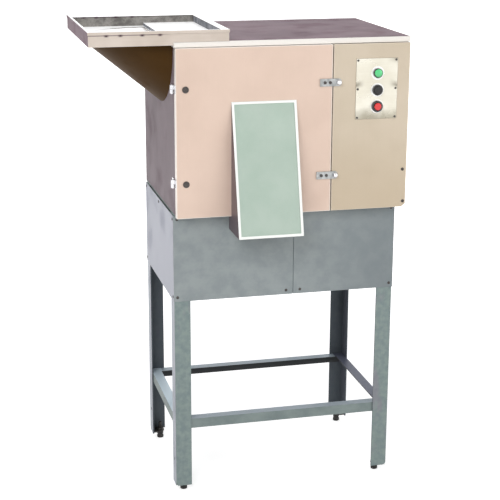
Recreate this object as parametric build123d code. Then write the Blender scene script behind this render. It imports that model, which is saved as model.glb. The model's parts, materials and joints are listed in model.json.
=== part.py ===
from build123d import *
import math
import os

# A floor-standing vegetable cutting machine on a steel stand.
# Working frame: x = 0 is the outside of the cabinet's left wall, y = 0 the front of the door,
# z = 0 the floor. Every piece is shifted at the end so that the whole box is centred on x and y.

# Cabinet
cabinet_width = 642.0
cabinet_depth = 478.0
cabinet_bottom = 812.0
cabinet_top = 1280.0
sheet = 2.0
base_thickness = 4.0
front_depth = 20.0
front_seat_gap = 0.5
lid_overhang = 3.0
lid_lip_height = 14.0
lid_front = 8.0
lid_door_gap = 1.5
seam_share = 0.6643
seam_gap = 3.5
wall_flange = 18.0
partition_gap = 1.0
partition_thickness = 4.0
shaft_hole_gap = 4.0
panel_corner_cut_x = 11.0
panel_corner_cut_z = 9.0
panel_screw_r = 2.5
panel_screw_head_r = 4.5
panel_screw_head_height = 2.2
panel_screw_insets = (11.0, 7.5)
panel_screw_rises = (106.0, 16.0)
vent_count = 7
vent_pitch = 16.0
vent_height = 5.0
vent_length = 130.0
vent_inset = 167.0
vent_rise = 88.0

# Stand
stand_left = -3.0
stand_right_inset = 18.0
stand_front = 36.0
stand_rear_inset = 17.0
leg_width = 45.0
leg_thickness = 4.0
leg_bottom = 20.0
leg_cut_side = 6.0
leg_cut_rise = 9.0
rail_bottom = 192.0
rail_width = 28.0
rail_thickness = 3.0
frame_height = 30.0
frame_thickness = 3.0
skirt_bottom = 570.0
skirt_sheet = 1.5
skirt_return = 12.0
skirt_seam_x = 333.0
skirt_seam_gap = 2.0
skirt_top_gap = 0.5
skirt_corner_gap = 2.0
skirt_row_rise = 12.0
skirt_row_drop = 10.0
seam_post_width = 70.0
anchor_hole_r = 5.0
anchor_hole_z = 95.0
anchor_hole_inset = 22.0
leg_screw_inset = 9.0
seam_screw_offset = 20.0

# Small screws
screw_head_r = 4.0
screw_head_height = 1.8
screw_shank_r = 2.0
screw_hole_gap = 0.15
screw_tail = 3.0

# Cable gland at the rear of the stand
gland_inset = 64.0
gland_drop = 52.0
gland_thread_r = 10.0
gland_thread_length = 6.0
gland_bore_r = 5.0
gland_collar_r = 14.0
gland_collar = 6.0
gland_shoulder = 12.0
gland_length = 15.0
gland_nose_r = 8.0

# Levelling feet
foot_inset = 26.0
foot_plate_width = 34.0
foot_plate_cut = 12.0
foot_plate_thickness = 5.0
foot_stud_r = 5.0
foot_stud_top = 50.0
foot_pad_r = 10.0
foot_pad_edge = 1.0
foot_pad_side = 7.0
foot_pad_height = 12.0
foot_pad_top_r = 7.5
foot_hex_width = 17.0
foot_nut_height = 8.0
thread_clearance = 0.08

# Door and outlet hood
notch_x0 = 150.5
notch_x1 = 324.0
notch_drop = 175.0
hood_wall = 2.0
hood_drop = 159.0
hood_hang = 42.0
hood_reach = 90.0
hood_rear = 28.0
hood_plate = 2.5
hood_border = 8.0
hood_recess = 0.8
hood_corner_r = 6.0
hood_base_gap = 1.0
fitting_rise = 93.0
fitting_drop = 123.0
latch_rise = 100.0
latch_drop = 116.0
latch_low_shift = -6.0
hinge_axis_x = -6.0
hinge_knuckle_r = 5.5
hinge_half_height = 11.0
hinge_leaf = 2.0
hinge_leaf_reach = 32.0
hinge_link = 7.0
hinge_link_gap = 0.3
hinge_flap_inset = 2.0
hinge_pin_r = 2.5
hinge_pin_proud = 1.5
hinge_gap = 0.2
running_clearance = 0.05
ring_bolt_x = 26.0
ring_bolt_r = 9.0
ring_core_r = 3.6
ring_groove_r = 5.2
ring_groove_depth = 1.2
ring_edge = 1.2
ring_shank_r = 4.0
ring_head_height = 3.0
ring_tail = 4.0
bracket_width = 38.0
bracket_thickness = 3.0
bracket_half_height = 15.0
bracket_rear_gap = 1.0
strap_left = 36.5
strap_right = 23.5
strap_thickness = 4.0
strap_half_height = 10.0
strap_corner_r = 8.0
strap_screw_offsets = (23.5, 9.0)
strap_screw_head_r = 4.2
strap_screw_head_height = 2.0
strap_bore_gap = 0.3
latch_knob_offset = 15.5
latch_knob_r = 7.5
latch_knob_height = 9.0
latch_knob_side = 3.0
latch_dome_steps = 4
latch_shank_r = 4.0
latch_shank_end = 8.0
latch_clearance = 0.6

# Hopper
tray_x0 = -223.0
tray_x1 = 144.0
tray_y0 = 6.0
tray_rear_inset = 18.0
tray_rise = 30.0
tray_low_drop = 8.0
tray_sheet = 2.0
tray_rim_height = 8.0
tray_rim_out = 1.5
tray_rim_in = 5.0
tray_screw_inset = 25.0
tray_screw_hole_r = 3.15
trough_run = 219.0
trough_drop = 178.0
trough_side_inset = 27.0
trough_floor_gain = 2.6
trough_margin = 30.0
trough_step_gap = 2.0
inlet_drop = 18.0
lip_clearance = 0.5

# Controls
plate_right_inset = 34.5
plate_width = 117.0
plate_drop = 219.0
plate_height = 164.0
plate_sheet = 1.5
plate_screw_inset = 5.0
plate_screw_head_r = 3.0
plate_screw_head_height = 1.4
control_inset = 60.5
control_drop = {"lamp": 95.0, "start": 140.4, "stop": 184.8}
bezel_r = {"lamp": 13.0, "start": 14.5, "stop": 15.5}
bezel_height = 7.0
bezel_edge_height = 1.5
bezel_edge = 1.2
bezel_bore_r = 11.4
bezel_floor = 1.5
barrel_r = 10.9
cap_r = {"start": 11.0, "stop": 10.0}
cap_edge = 1.2
cap_height = 5.5
cap_proud = 3.5
cap_stem_r = 6.0
stem_bore_r = 6.3
stem_setback = 0.5
lens_gap = 0.3
lens_edge = 0.4
lens_dome = 2.8
lens_steps = 4
button_travel = 3.0
contact_width = 30.0
contact_depth = 38.0
contact_room = 3.0

# Cutting drum and what turns in it
axis_setback = 31.0
axis_drop = 185.0
drum_r = 130.0
drum_wall = 4.0
drum_x0 = 165.0
drum_x1 = 300.0
mouth_r = 100.0
drum_side = 3.0
drum_flange_r = 150.0
drum_flange = 6.0
knife_angle = 60.0
knife_length = 46.0
knife_thickness = 2.5
knife_bevel = 9.0
knife_screw_shares = (0.15, 0.5, 0.85)
knife_screw_setback = 28.5
knife_screw_r = 5.0
knife_screw_height = 3.0
holder_setback = 6.0
holder_length = 60.0
window_front = 22.0
window_rear = 45.0
sector_step = 6.0
sector_reach = 1.6
gate_front = 3.0
gate_rear = 39.0
gate_pivot_angle = 41.0
gate_pivot_r = 138.0
gate_boss_r = 10.0
gate_barrel_r = 6.0
gate_pin_r = 4.0
gate_rest_angle = 5.6
gate_clearance = 0.5
side_clearance = 0.6
paddle_count = 4
paddle_x0 = 180.0
paddle_thickness = 5.0
paddle_arc_r = 75.0
paddle_root = 3.0
paddle_tip_gap = 1.6
impeller_disc_r = 122.0
impeller_disc_x0 = 286.0
impeller_disc_x1 = 290.0
impeller_hub_r = 30.0
impeller_hub_x0 = 236.0
impeller_hub_cap = 8.0
throat_end_x = 172.0
throat_start_drop = 172.0
throat_end_half_width = 80.0
throat_end_rise = 35.0
throat_end_drop = 125.0
throat_flange = 16.0
throat_flange_side = 6.4
throat_sides = 16

# Gears, shafts and bearings
module_mm = 4.0
main_teeth = 60
disc_teeth = 36
crosscut_teeth = 20
gear_setback = 5.0
gear_width = 20.0
gear_hub_r = 28.0
gear_hub = 14.0
gear_window_count = 6
gear_window_at = 72.0
gear_window_r = 22.0
tooth_share = 0.42
tooth_root_share = 1.55
tooth_tip_share = 0.5
root_clearance = 1.2
disc_axis_angle = 27.6
crosscut_drop_angle = 83.8
main_shaft_r = 15.0
main_shaft_end = 6.0
shaft_chamfer = 2.0
side_shaft_r = 10.0
side_shaft_x0 = 166.0
side_shaft_end = 4.0
side_hole_gap = 3.0
bearing_width = 14.0
bearing_inset = 2.0
housing_wall = 4.0
main_bearing_r = 30.0
side_bearing_r = 19.0
housing_flange = 6.0
housing_flange_width = 13.0
fit_clearance = 0.02
mech_plate = 8.0
mech_front = 40.0
mech_rear_inset = 63.0
mech_drop = 30.0
mech_cut_rear = 70.0
mech_cut_front = 20.0
disc_knife_r = 52.0
disc_knife_count = 9
disc_knife_thickness = 2.5
disc_knife_bevel = 4.0
disc_hub_r = 20.0
disc_hub_end = 4.0
disc_x0 = 176.0
disc_pitch = 13.5
crosscut_r = 40.0
crosscut_hub_r = 16.0
crosscut_root = 2.0
crosscut_blades = 4
crosscut_blade = 3.0
crosscut_bevel = 6.0
crosscut_x0 = 172.0
crosscut_x1 = 290.0
comb_distance = 61.0
comb_angle = 76.0
comb_bar = 9.0
comb_finger_reach = 35.0
comb_finger = 6.0
comb_side_gap = 2.0

# Drive
motor_drop = 127.0
motor_foot_drop = 207.0
motor_r = 68.0
motor_length = 162.0
motor_pulley_gap = 38.0
motor_cover = 32.0
motor_shell_start = 30.0
motor_shell_end = 15.0
motor_fin = 5.0
motor_fins = 20
motor_fin_half = 1.2
motor_fin_start = 40.0
motor_fin_end = 30.0
motor_bell_step = 3.0
motor_bell_end = 17.0
motor_bell = 12.0
motor_nose_r = 30.0
motor_nose = 6.0
motor_foot_starts = (55.0, 97.0)
motor_foot_width = 28.0
motor_foot_thickness = 8.0
motor_foot_share = 0.6
motor_foot_sink = 4.0
terminal_start = 60.0
terminal_length = 60.0
terminal_half_width = 30.0
terminal_height = 24.0
terminal_sink = 6.0
motor_shaft_r = 9.5
motor_shaft_inside = 20.0
motor_shaft_gap = 0.3
pulley_inset = 124.0
pulley_width = 44.0
pulley_rim = 2.0
pulley_hub_wall = 12.0
pulley_rim_depth = 22.0
pulley_web_start = 26.4
main_pulley_r = 110.0
motor_pulley_r = 45.0
groove_floor = 1.0
groove_taper = 2.0
groove_gap = 0.3
belt_count = 2
belt_pitch = 20.0
belt_width = 11.0
belt_height = 8.0
belt_taper = 2.0
belt_step = 0.6
belt_gap = 0.4
cradle_margins = (8.0, 10.0)
cradle_half_width = 100.0
cradle_sheet = 5.0
cradle_flange = 30.0
slot_margin = 14.0
slot_side = 4.0

# Discharge chute
chute_x0 = 150.0
chute_front_gap = 1.5
chute_front_rise = 26.0
chute_floor = 3.0
chute_rear_offset = 110.0
chute_mid_offset = 150.0
chute_rear_drop = 133.0
chute_front_side_drop = 95.0
chute_rear_side_drop = 120.0

# How far a cut runs past a face, and the least volume that counts as touching
through = 1.0
touch = 0.01

# Derived places of the stand and the cabinet
stand_right = cabinet_width - stand_right_inset
stand_rear = cabinet_depth - stand_rear_inset
wall_front = front_depth + front_seat_gap
base_top = cabinet_bottom + base_thickness
wall_top = cabinet_top - sheet
rear_inner = cabinet_depth - sheet
seam_x = cabinet_width * seam_share
panel_x0 = seam_x + seam_gap / 2
door_x1 = seam_x - seam_gap / 2
door_top = cabinet_top - lid_lip_height - lid_door_gap
partition_x0 = panel_x0 + sheet + partition_gap
partition_x1 = partition_x0 + partition_thickness
panel_screw_places = [(cabinet_width - inset, cabinet_bottom + rise)
                      for inset, rise in zip(panel_screw_insets, panel_screw_rises)]
gland_x = stand_right - gland_inset
gland_z = cabinet_bottom - gland_drop
skirt_rows = (skirt_bottom + skirt_row_rise, cabinet_bottom - skirt_row_drop)
skirt_screw_reach = skirt_sheet + leg_thickness

# Derived places of the door, its latches and the controls
notch_top = cabinet_top - notch_drop
hood_top = cabinet_top - hood_drop
hood_bottom = cabinet_bottom - hood_hang
fitting_z = (cabinet_bottom + fitting_rise, cabinet_top - fitting_drop)
latch_z = (cabinet_bottom + latch_rise, cabinet_top - latch_drop)
latch_shift = (latch_low_shift, 0.0)
latch_places = [(seam_x + latch_knob_offset + shift_x, z) for shift_x, z in zip(latch_shift, latch_z)]
plate_x0 = cabinet_width - plate_right_inset - plate_width
plate_z0 = cabinet_top - plate_drop
control_x = plate_x0 + control_inset
control_z = {name: cabinet_top - drop for name, drop in control_drop.items()}

# Derived places of the hopper
tray_y1 = cabinet_depth - tray_rear_inset
tray_mid_y = (tray_y0 + tray_y1) / 2
tray_top = cabinet_top + tray_rise
tray_low = cabinet_top - tray_low_drop
trough_half_width = (tray_y1 - tray_y0) / 2 - trough_side_inset
inlet_top = cabinet_top - inlet_drop

# Derived places of the cutting unit and the drive
axis_y = cabinet_depth / 2 + axis_setback
axis_z = cabinet_top - axis_drop
throat_end_z = axis_z + throat_end_rise
mech_x0 = drum_x1
mech_x1 = mech_x0 + mech_plate
mech_rear = cabinet_depth - mech_rear_inset
mech_top = cabinet_top - mech_drop
gear_x0 = partition_x1 + gear_setback
gear_x1 = gear_x0 + gear_width
side_shaft_x1 = gear_x1 + side_shaft_end
main_pitch_r = module_mm * main_teeth / 2
disc_pitch_r = module_mm * disc_teeth / 2
crosscut_pitch_r = module_mm * crosscut_teeth / 2
disc_distance = main_pitch_r + disc_pitch_r
disc_y = axis_y - disc_distance * math.cos(math.radians(disc_axis_angle))
disc_z = axis_z + disc_distance * math.sin(math.radians(disc_axis_angle))
crosscut_distance = disc_pitch_r + crosscut_pitch_r
crosscut_y = disc_y - crosscut_distance * math.cos(math.radians(crosscut_drop_angle))
crosscut_z = disc_z - crosscut_distance * math.sin(math.radians(crosscut_drop_angle))
pulley_x0 = cabinet_width - pulley_inset
main_shaft_x1 = pulley_x0 + pulley_width + main_shaft_end
motor_x1 = pulley_x0 - motor_pulley_gap
motor_x0 = motor_x1 - motor_length
motor_axis_z = cabinet_bottom - motor_drop
motor_foot_z = cabinet_bottom - motor_foot_drop
belt_ratio = main_pulley_r / motor_pulley_r
groove_depth = belt_height + belt_gap + groove_floor

# The whole box, which sets the shift to the part's own origin
box_x0 = tray_x0 - tray_rim_out
box_x1 = cabinet_width + lid_overhang
box_y0 = -hood_reach
box_y1 = cabinet_depth + sheet
shift = Location((-(box_x0 + box_x1) / 2, -(box_y0 + box_y1) / 2, 0))


def block(x0, x1, y0, y1, z0, z1):
    """A box between two opposite corners."""
    centre = Pos((x0 + x1) / 2, (y0 + y1) / 2, (z0 + z1) / 2)
    return centre * Box(x1 - x0, y1 - y0, z1 - z0)


def rod(start, radius, length, direction):
    """A cylinder from a start point along +X, +Y or +Z."""
    turn = {"x": Rot(0, 90, 0), "y": Rot(-90, 0, 0), "z": Rot(0, 0, 0)}[direction]
    body = Cylinder(radius, length, align=(Align.CENTER, Align.CENTER, Align.MIN))
    return Pos(*start) * turn * body


def tube(start, outer_r, inner_r, length, direction):
    return rod(start, outer_r, length, direction) - rod(start, inner_r, length, direction)


def slab_x(points, x0, x1):
    """A (y, z) outline extruded from x0 to x1."""
    face = make_face(Polyline(*[(x0, y, z) for y, z in points], close=True))
    return extrude(face, x1 - x0, dir=(1, 0, 0))


def slab_y(points, y0, y1):
    """An (x, z) outline extruded from y0 to y1."""
    face = make_face(Polyline(*[(x, y0, z) for x, z in points], close=True))
    return extrude(face, y1 - y0, dir=(0, 1, 0))


def slab_z(points, z0, z1):
    """An (x, y) outline extruded from z0 to z1."""
    face = make_face(Polyline(*[(x, y, z0) for x, y in points], close=True))
    return extrude(face, z1 - z0, dir=(0, 0, 1))


def turned(points, y, z):
    """An (x, r) outline turned about the line along X through y and z."""
    face = make_face(Polyline(*[(x, 0, r) for x, r in points], close=True))
    return Pos(0, y, z) * revolve(face, Axis.X)


def turned_y(points, x, z):
    """A (y, r) outline turned about the line along Y through x and z."""
    face = make_face(Polyline(*[(0, y, r) for y, r in points], close=True))
    return Pos(x, 0, z) * revolve(face, Axis.Y)


def turned_z(points, x, y):
    """A (z, r) outline turned about the vertical line through x and y."""
    face = make_face(Polyline(*[(r, 0, z) for z, r in points], close=True))
    return Pos(x, y, 0) * revolve(face, Axis.Z)


def hexagon_z(x, y, z0, z1, across_flats):
    outline = RegularPolygon(across_flats / 2, 6, major_radius=False)
    return Pos(x, y, z0) * extrude(outline, z1 - z0)


def save(name, *solids):
    """Writes one node, alone or as a group of separate solids, in the part's own frame."""
    pieces = [shift * s for s in solids]
    whole = pieces[0] if len(pieces) == 1 else Compound(children=pieces)
    export_step(whole, f"parts/{name}.step")


# Screws
def pan_screw(x, y, z, outward, head_r, head_height, shank_r, length):
    """A screw whose head bears on a face at x, y, z and stands out along -Y, -X, +X or +Y."""
    if outward == "-y":
        return rod((x, y - head_height, z), head_r, head_height, "y") + rod((x, y, z), shank_r, length, "y")
    if outward == "+y":
        return rod((x, y, z), head_r, head_height, "y") + rod((x, y - length, z), shank_r, length, "y")
    if outward == "-x":
        return rod((x - head_height, y, z), head_r, head_height, "x") + rod((x, y, z), shank_r, length, "x")
    return rod((x, y, z), head_r, head_height, "x") + rod((x - length, y, z), shank_r, length, "x")


def screw_hole(x, y, z, direction, shank_r, reach):
    """A clearance hole through everything within reach of a face, both ways."""
    start = {"x": (x - reach, y, z), "y": (x, y - reach, z), "z": (x, y, z - reach)}[direction]
    return rod(start, shank_r + screw_hole_gap, 2 * reach, direction)


def drilled(piece, holes):
    """The piece with those of the holes that reach it."""
    for hole in holes:
        if (hole & piece).volume > touch:
            piece -= hole
    return piece


# Stand: legs, rails, top frame
def skirt_screw_places():
    """Where the skirt screws sit, as x, y, z and the way each head faces."""
    places = []
    front_y = stand_front - skirt_sheet
    rear_y = stand_rear + skirt_sheet
    side_x = (stand_left + leg_screw_inset, stand_right - leg_screw_inset)
    front_x = (*side_x, skirt_seam_x - seam_screw_offset, skirt_seam_x + seam_screw_offset)
    side_y = (stand_front + leg_screw_inset, stand_rear - leg_screw_inset)
    for z in skirt_rows:
        for x in front_x:
            places.append((x, front_y, z, "-y"))
        for x in side_x:
            places.append((x, rear_y, z, "+y"))
        for y in side_y:
            places.append((stand_left - skirt_sheet, y, z, "-x"))
            places.append((stand_right + skirt_sheet, y, z, "+x"))
    middle_y = (stand_front + stand_rear) / 2
    places.append((stand_left - skirt_sheet, middle_y, skirt_rows[1], "-x"))
    places.append((stand_right + skirt_sheet, middle_y, skirt_rows[1], "+x"))
    return places


def skirt_holes():
    holes = []
    for x, y, z, outward in skirt_screw_places():
        holes.append(screw_hole(x, y, z, outward[1], screw_shank_r, skirt_screw_reach + through))
    return holes


def angle_post(x, y, sx, sy, width, thickness, z0, z1):
    """An angle section standing on its outer corner at x, y, with flanges towards sx and sy."""
    points = [(x, y), (x + sx * width, y), (x + sx * width, y + sy * thickness),
              (x + sx * thickness, y + sy * thickness), (x + sx * thickness, y + sy * width),
              (x, y + sy * width)]
    return slab_z(points, z0, z1)


corners = {
    "front_left": (stand_left, stand_front, 1, 1),
    "front_right": (stand_right, stand_front, -1, 1),
    "rear_left": (stand_left, stand_rear, 1, -1),
    "rear_right": (stand_right, stand_rear, -1, -1),
}


def corner_cuts(x, y, sx, sy):
    """Two wedges that take the outer corner off a leg's foot."""
    low = leg_bottom - through
    cuts = []
    for start, s in ((x, sx), (y, sy)):
        cuts.append([(start - s * through, low), (start + s * leg_cut_side, low),
                     (start - s * through, leg_bottom + leg_cut_rise)])
    y0, y1 = sorted((y - sy * through, y + sy * leg_thickness))
    x0, x1 = sorted((x - sx * through, x + sx * leg_thickness))
    return slab_y(cuts[0], y0, y1), slab_x(cuts[1], x0, x1)


def make_legs():
    holes = skirt_holes()
    for name, (x, y, sx, sy) in corners.items():
        leg = angle_post(x, y, sx, sy, leg_width, leg_thickness, leg_bottom, cabinet_bottom)
        leg = drilled(leg, holes)
        for cut in corner_cuts(x, y, sx, sy):
            leg -= cut
        if sx > 0:
            anchor_y = y + sy * anchor_hole_inset
            leg -= rod((x - through, anchor_y, anchor_hole_z), anchor_hole_r, leg_thickness + 2 * through, "x")
        save(f"leg_{name}", leg)


def make_rails():
    top = rail_bottom + rail_width
    inner_x0 = stand_left + leg_thickness
    inner_x1 = stand_right - leg_thickness
    cross = []
    for y, sy in ((stand_front + leg_thickness, 1), (stand_rear - leg_thickness, -1)):
        outline = [(y, rail_bottom), (y, top), (y + sy * rail_width, top),
                   (y + sy * rail_width, top - rail_thickness), (y + sy * rail_thickness, top - rail_thickness),
                   (y + sy * rail_thickness, rail_bottom)]
        cross.append(slab_x(outline, inner_x0, inner_x1))
    side = []
    y0 = stand_front + leg_thickness + rail_width
    y1 = stand_rear - leg_thickness - rail_width
    for x, sx in ((inner_x0, 1), (inner_x1, -1)):
        outline = [(x, rail_bottom), (x, top), (x + sx * rail_width, top),
                   (x + sx * rail_width, top - rail_thickness), (x + sx * rail_thickness, top - rail_thickness),
                   (x + sx * rail_thickness, rail_bottom)]
        side.append(slab_y(outline, y0, y1))
    save("cross_rails", *cross)
    save("side_rails", *side)


def make_top_frame():
    x0 = stand_left + leg_thickness
    x1 = stand_right - leg_thickness
    y0 = stand_front + leg_thickness
    y1 = stand_rear - leg_thickness
    z0 = cabinet_bottom - frame_height
    upright = block(x0, x1, y0, y1, z0, cabinet_bottom)
    t = frame_thickness
    upright -= block(x0 + t, x1 - t, y0 + t, y1 - t, z0, cabinet_bottom - t)
    upright -= block(x0 + frame_height, x1 - frame_height, y0 + frame_height, y1 - frame_height,
                     z0, cabinet_bottom)
    post_x0 = skirt_seam_x - seam_post_width / 2
    post = block(post_x0, post_x0 + seam_post_width, stand_front, y0, skirt_bottom + skirt_sheet, cabinet_bottom)
    holes = skirt_holes()
    save("top_frame", drilled(upright, holes), drilled(post, holes))


def foot_centre(corner):
    x, y, sx, sy = corner
    return x + sx * foot_inset, y + sy * foot_inset


def make_feet():
    plates = []
    hex_top = leg_bottom
    pad = [(0.0, 0.0), (0.0, foot_pad_r - foot_pad_edge), (foot_pad_edge, foot_pad_r),
           (foot_pad_side, foot_pad_r), (foot_pad_height, foot_pad_top_r), (foot_pad_height, 0.0)]
    for name, corner in corners.items():
        cx, cy = foot_centre(corner)
        x, y, sx, sy = corner
        inner_x = x + sx * leg_thickness
        inner_y = y + sy * leg_thickness
        far_x = inner_x + sx * foot_plate_width
        far_y = inner_y + sy * foot_plate_width
        cut = foot_plate_cut
        outline = [(inner_x, inner_y), (far_x, inner_y), (far_x, far_y - sy * cut),
                   (far_x - sx * cut, far_y), (inner_x, far_y)]
        plate = slab_z(outline, leg_bottom, leg_bottom + foot_plate_thickness)
        bore = rod((cx, cy, 0), foot_stud_r + thread_clearance, foot_stud_top, "z")
        nut_z = leg_bottom + foot_plate_thickness
        nut = hexagon_z(cx, cy, nut_z, nut_z + foot_nut_height, foot_hex_width)
        plates += [plate - bore, nut - bore]
        foot = turned_z(pad, cx, cy)
        foot += hexagon_z(cx, cy, foot_pad_height, hex_top - running_clearance, foot_hex_width)
        foot += rod((cx, cy, foot_pad_height), foot_stud_r, foot_stud_top - foot_pad_height, "z")
        save(f"foot_{name}", foot)
    save("foot_plates", *plates)


def make_skirts():
    z0 = skirt_bottom
    z1 = cabinet_bottom - skirt_top_gap
    t = skirt_sheet
    front_y = stand_front - t
    clear_x0 = stand_left + leg_width + skirt_corner_gap
    clear_x1 = stand_right - leg_width - skirt_corner_gap
    holes = skirt_holes()
    post_half = seam_post_width / 2 + skirt_corner_gap
    gap = skirt_seam_gap / 2
    x0 = stand_left
    x1 = stand_right
    left = block(x0 - t, skirt_seam_x - gap, front_y, stand_front, z0, z1)
    left += block(clear_x0, skirt_seam_x - post_half, stand_front, stand_front + skirt_return, z0, z0 + t)
    right = block(skirt_seam_x + gap, x1 + t, front_y, stand_front, z0, z1)
    right += block(skirt_seam_x + post_half, clear_x1, stand_front, stand_front + skirt_return, z0, z0 + t)
    save("skirt_front_left", drilled(left, holes))
    save("skirt_front_right", drilled(right, holes))
    y0 = stand_front + leg_width + skirt_corner_gap
    y1 = stand_rear - leg_width - skirt_corner_gap
    side = block(x0 - t, x0, stand_front, stand_rear, z0, z1)
    side += block(x0, x0 + skirt_return, y0, y1, z0, z0 + t)
    save("skirt_left", drilled(side, holes))
    side = block(x1, x1 + t, stand_front, stand_rear, z0, z1)
    side += block(x1 - skirt_return, x1, y0, y1, z0, z0 + t)
    save("skirt_right", drilled(side, holes))
    rear = block(x0 - t, x1 + t, stand_rear, stand_rear + t, z0, z1)
    rear += block(clear_x0, clear_x1, stand_rear - skirt_return, stand_rear, z0, z0 + t)
    rear -= screw_hole(gland_x, stand_rear, gland_z, "y", gland_thread_r, skirt_sheet + through)
    save("skirt_rear", drilled(rear, holes))
    screws = []
    for x, y, z, outward in skirt_screw_places():
        screws.append(pan_screw(x, y, z, outward, screw_head_r, screw_head_height, screw_shank_r,
                                skirt_screw_reach))
    save("skirt_screws", *screws)


def make_gland():
    y = stand_rear + skirt_sheet
    start = stand_rear - gland_thread_length
    end = y + gland_length
    outline = [(start, gland_bore_r), (start, gland_thread_r), (y, gland_thread_r), (y, gland_collar_r),
               (y + gland_collar, gland_collar_r), (y + gland_shoulder, gland_thread_r), (end, gland_nose_r),
               (end, gland_bore_r)]
    save("cable_gland", turned_y(outline, gland_x, gland_z))


# Cabinet
def ellipse_prism(half_width, drop, x0, x1):
    """A prism with an elliptic section at the wall, running down along the trough's slope."""
    slope = trough_drop / trough_run
    section = Plane(origin=(x0, tray_mid_y, tray_low - slope * x0), x_dir=(0, 1, 0), z_dir=(1, 0, 0))
    face = section * Ellipse(half_width, drop)
    run = x1 - x0
    length = math.hypot(run, run * slope)
    return extrude(face, length, dir=(run, 0, -run * slope))


def trough_inside(x1):
    return ellipse_prism(trough_half_width - tray_sheet, trough_drop - trough_floor_gain,
                         -trough_run - trough_margin, x1)


def make_walls():
    z0 = base_top
    left = block(0, sheet, wall_front, rear_inner, z0, wall_top)
    left += block(sheet, wall_flange, wall_front, wall_front + sheet, z0, wall_top)
    left -= trough_inside(trough_margin) & block(-through, sheet + through, 0, cabinet_depth, z0, inlet_top)
    right = block(cabinet_width - sheet, cabinet_width, wall_front, rear_inner, z0, wall_top)
    right += block(cabinet_width - wall_flange, cabinet_width - sheet, wall_front, wall_front + sheet,
                   z0, wall_top)
    for x, z in panel_screw_places:
        right -= screw_hole(x, wall_front, z, "y", panel_screw_r, sheet + through)
    save("left_wall", left)
    rear = block(0, cabinet_width, rear_inner, cabinet_depth, z0, wall_top)
    vent_x0 = cabinet_width - vent_inset
    for i in range(vent_count):
        z = cabinet_bottom + vent_rise + i * vent_pitch
        rear -= block(vent_x0, vent_x0 + vent_length, rear_inner - through, cabinet_depth + through,
                      z, z + vent_height)
    save("right_rear_wall", right + rear)
    part = block(partition_x0, partition_x1, wall_front, rear_inner, z0, wall_top)
    for y, z, r in ((axis_y, axis_z, main_shaft_r), (disc_y, disc_z, side_shaft_r),
                    (crosscut_y, crosscut_z, side_shaft_r)):
        part -= rod((partition_x0 - through, y, z), r + shaft_hole_gap, partition_thickness + 2 * through, "x")
    save("partition", part)


def make_base():
    base = block(0, cabinet_width, wall_front, cabinet_depth, cabinet_bottom, base_top)
    half = slot_half_width()
    base -= block(pulley_x0 - slot_side, pulley_x0 + pulley_width + slot_side, axis_y - half, axis_y + half,
                  cabinet_bottom - through, base_top + through)
    save("base_plate", base)


def slot_half_width():
    """Half the width of the belt slot: the belts' own spread at the base, and a margin."""
    share = (base_top - motor_axis_z) / (axis_z - motor_axis_z)
    return motor_pulley_r + share * (main_pulley_r - motor_pulley_r) + slot_margin


def make_lid():
    x0 = -lid_overhang
    x1 = cabinet_width + lid_overhang
    y1 = cabinet_depth + sheet
    z0 = cabinet_top - lid_lip_height
    lid = block(x0, x1, lid_front, y1, z0, cabinet_top)
    lid -= block(x0 + sheet, x1 - sheet, lid_front + sheet, y1 - sheet, z0, cabinet_top - sheet)
    save("lid", lid)


def front_pan(x0, x1, z0, z1):
    """A sheet pan that faces the front, open at the back."""
    pan = block(x0, x1, 0, front_depth, z0, z1)
    return pan - block(x0 + sheet, x1 - sheet, sheet, front_depth, z0 + sheet, z1 - sheet)


def make_drive_panel():
    x1 = cabinet_width
    z0 = cabinet_bottom
    cut_x = panel_corner_cut_x
    cut_z = panel_corner_cut_z
    outer = [(panel_x0, z0), (x1 - cut_x, z0), (x1, z0 + cut_z), (x1, door_top), (panel_x0, door_top)]
    t = sheet
    inner = [(panel_x0 + t, z0 + t), (x1 - cut_x - t / 2, z0 + t), (x1 - t, z0 + cut_z + t / 2),
             (x1 - t, door_top - t), (panel_x0 + t, door_top - t)]
    pan = slab_y(outer, 0, front_depth) - slab_y(inner, t, front_depth)
    for z in control_z.values():
        pan -= rod((control_x, -through, z), barrel_r + fit_clearance, t + 2 * through, "y")
    for x, z in latch_places:
        pan -= rod((x, -through, z), latch_shank_r + latch_clearance, t + 2 * through, "y")
    for x, z in panel_screw_places:
        pan -= screw_hole(x, 0, z, "y", panel_screw_r, t + through)
    for x, z in plate_screw_places():
        pan -= screw_hole(x, 0, z, "y", screw_shank_r, t + through)
    save("drive_panel", pan)


def plate_screw_places():
    inset = plate_screw_inset
    xs = (plate_x0 + inset, plate_x0 + plate_width - inset)
    zs = (plate_z0 + inset, plate_z0 + plate_height / 2, plate_z0 + plate_height - inset)
    return [(x, z) for x in xs for z in zs]


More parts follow.
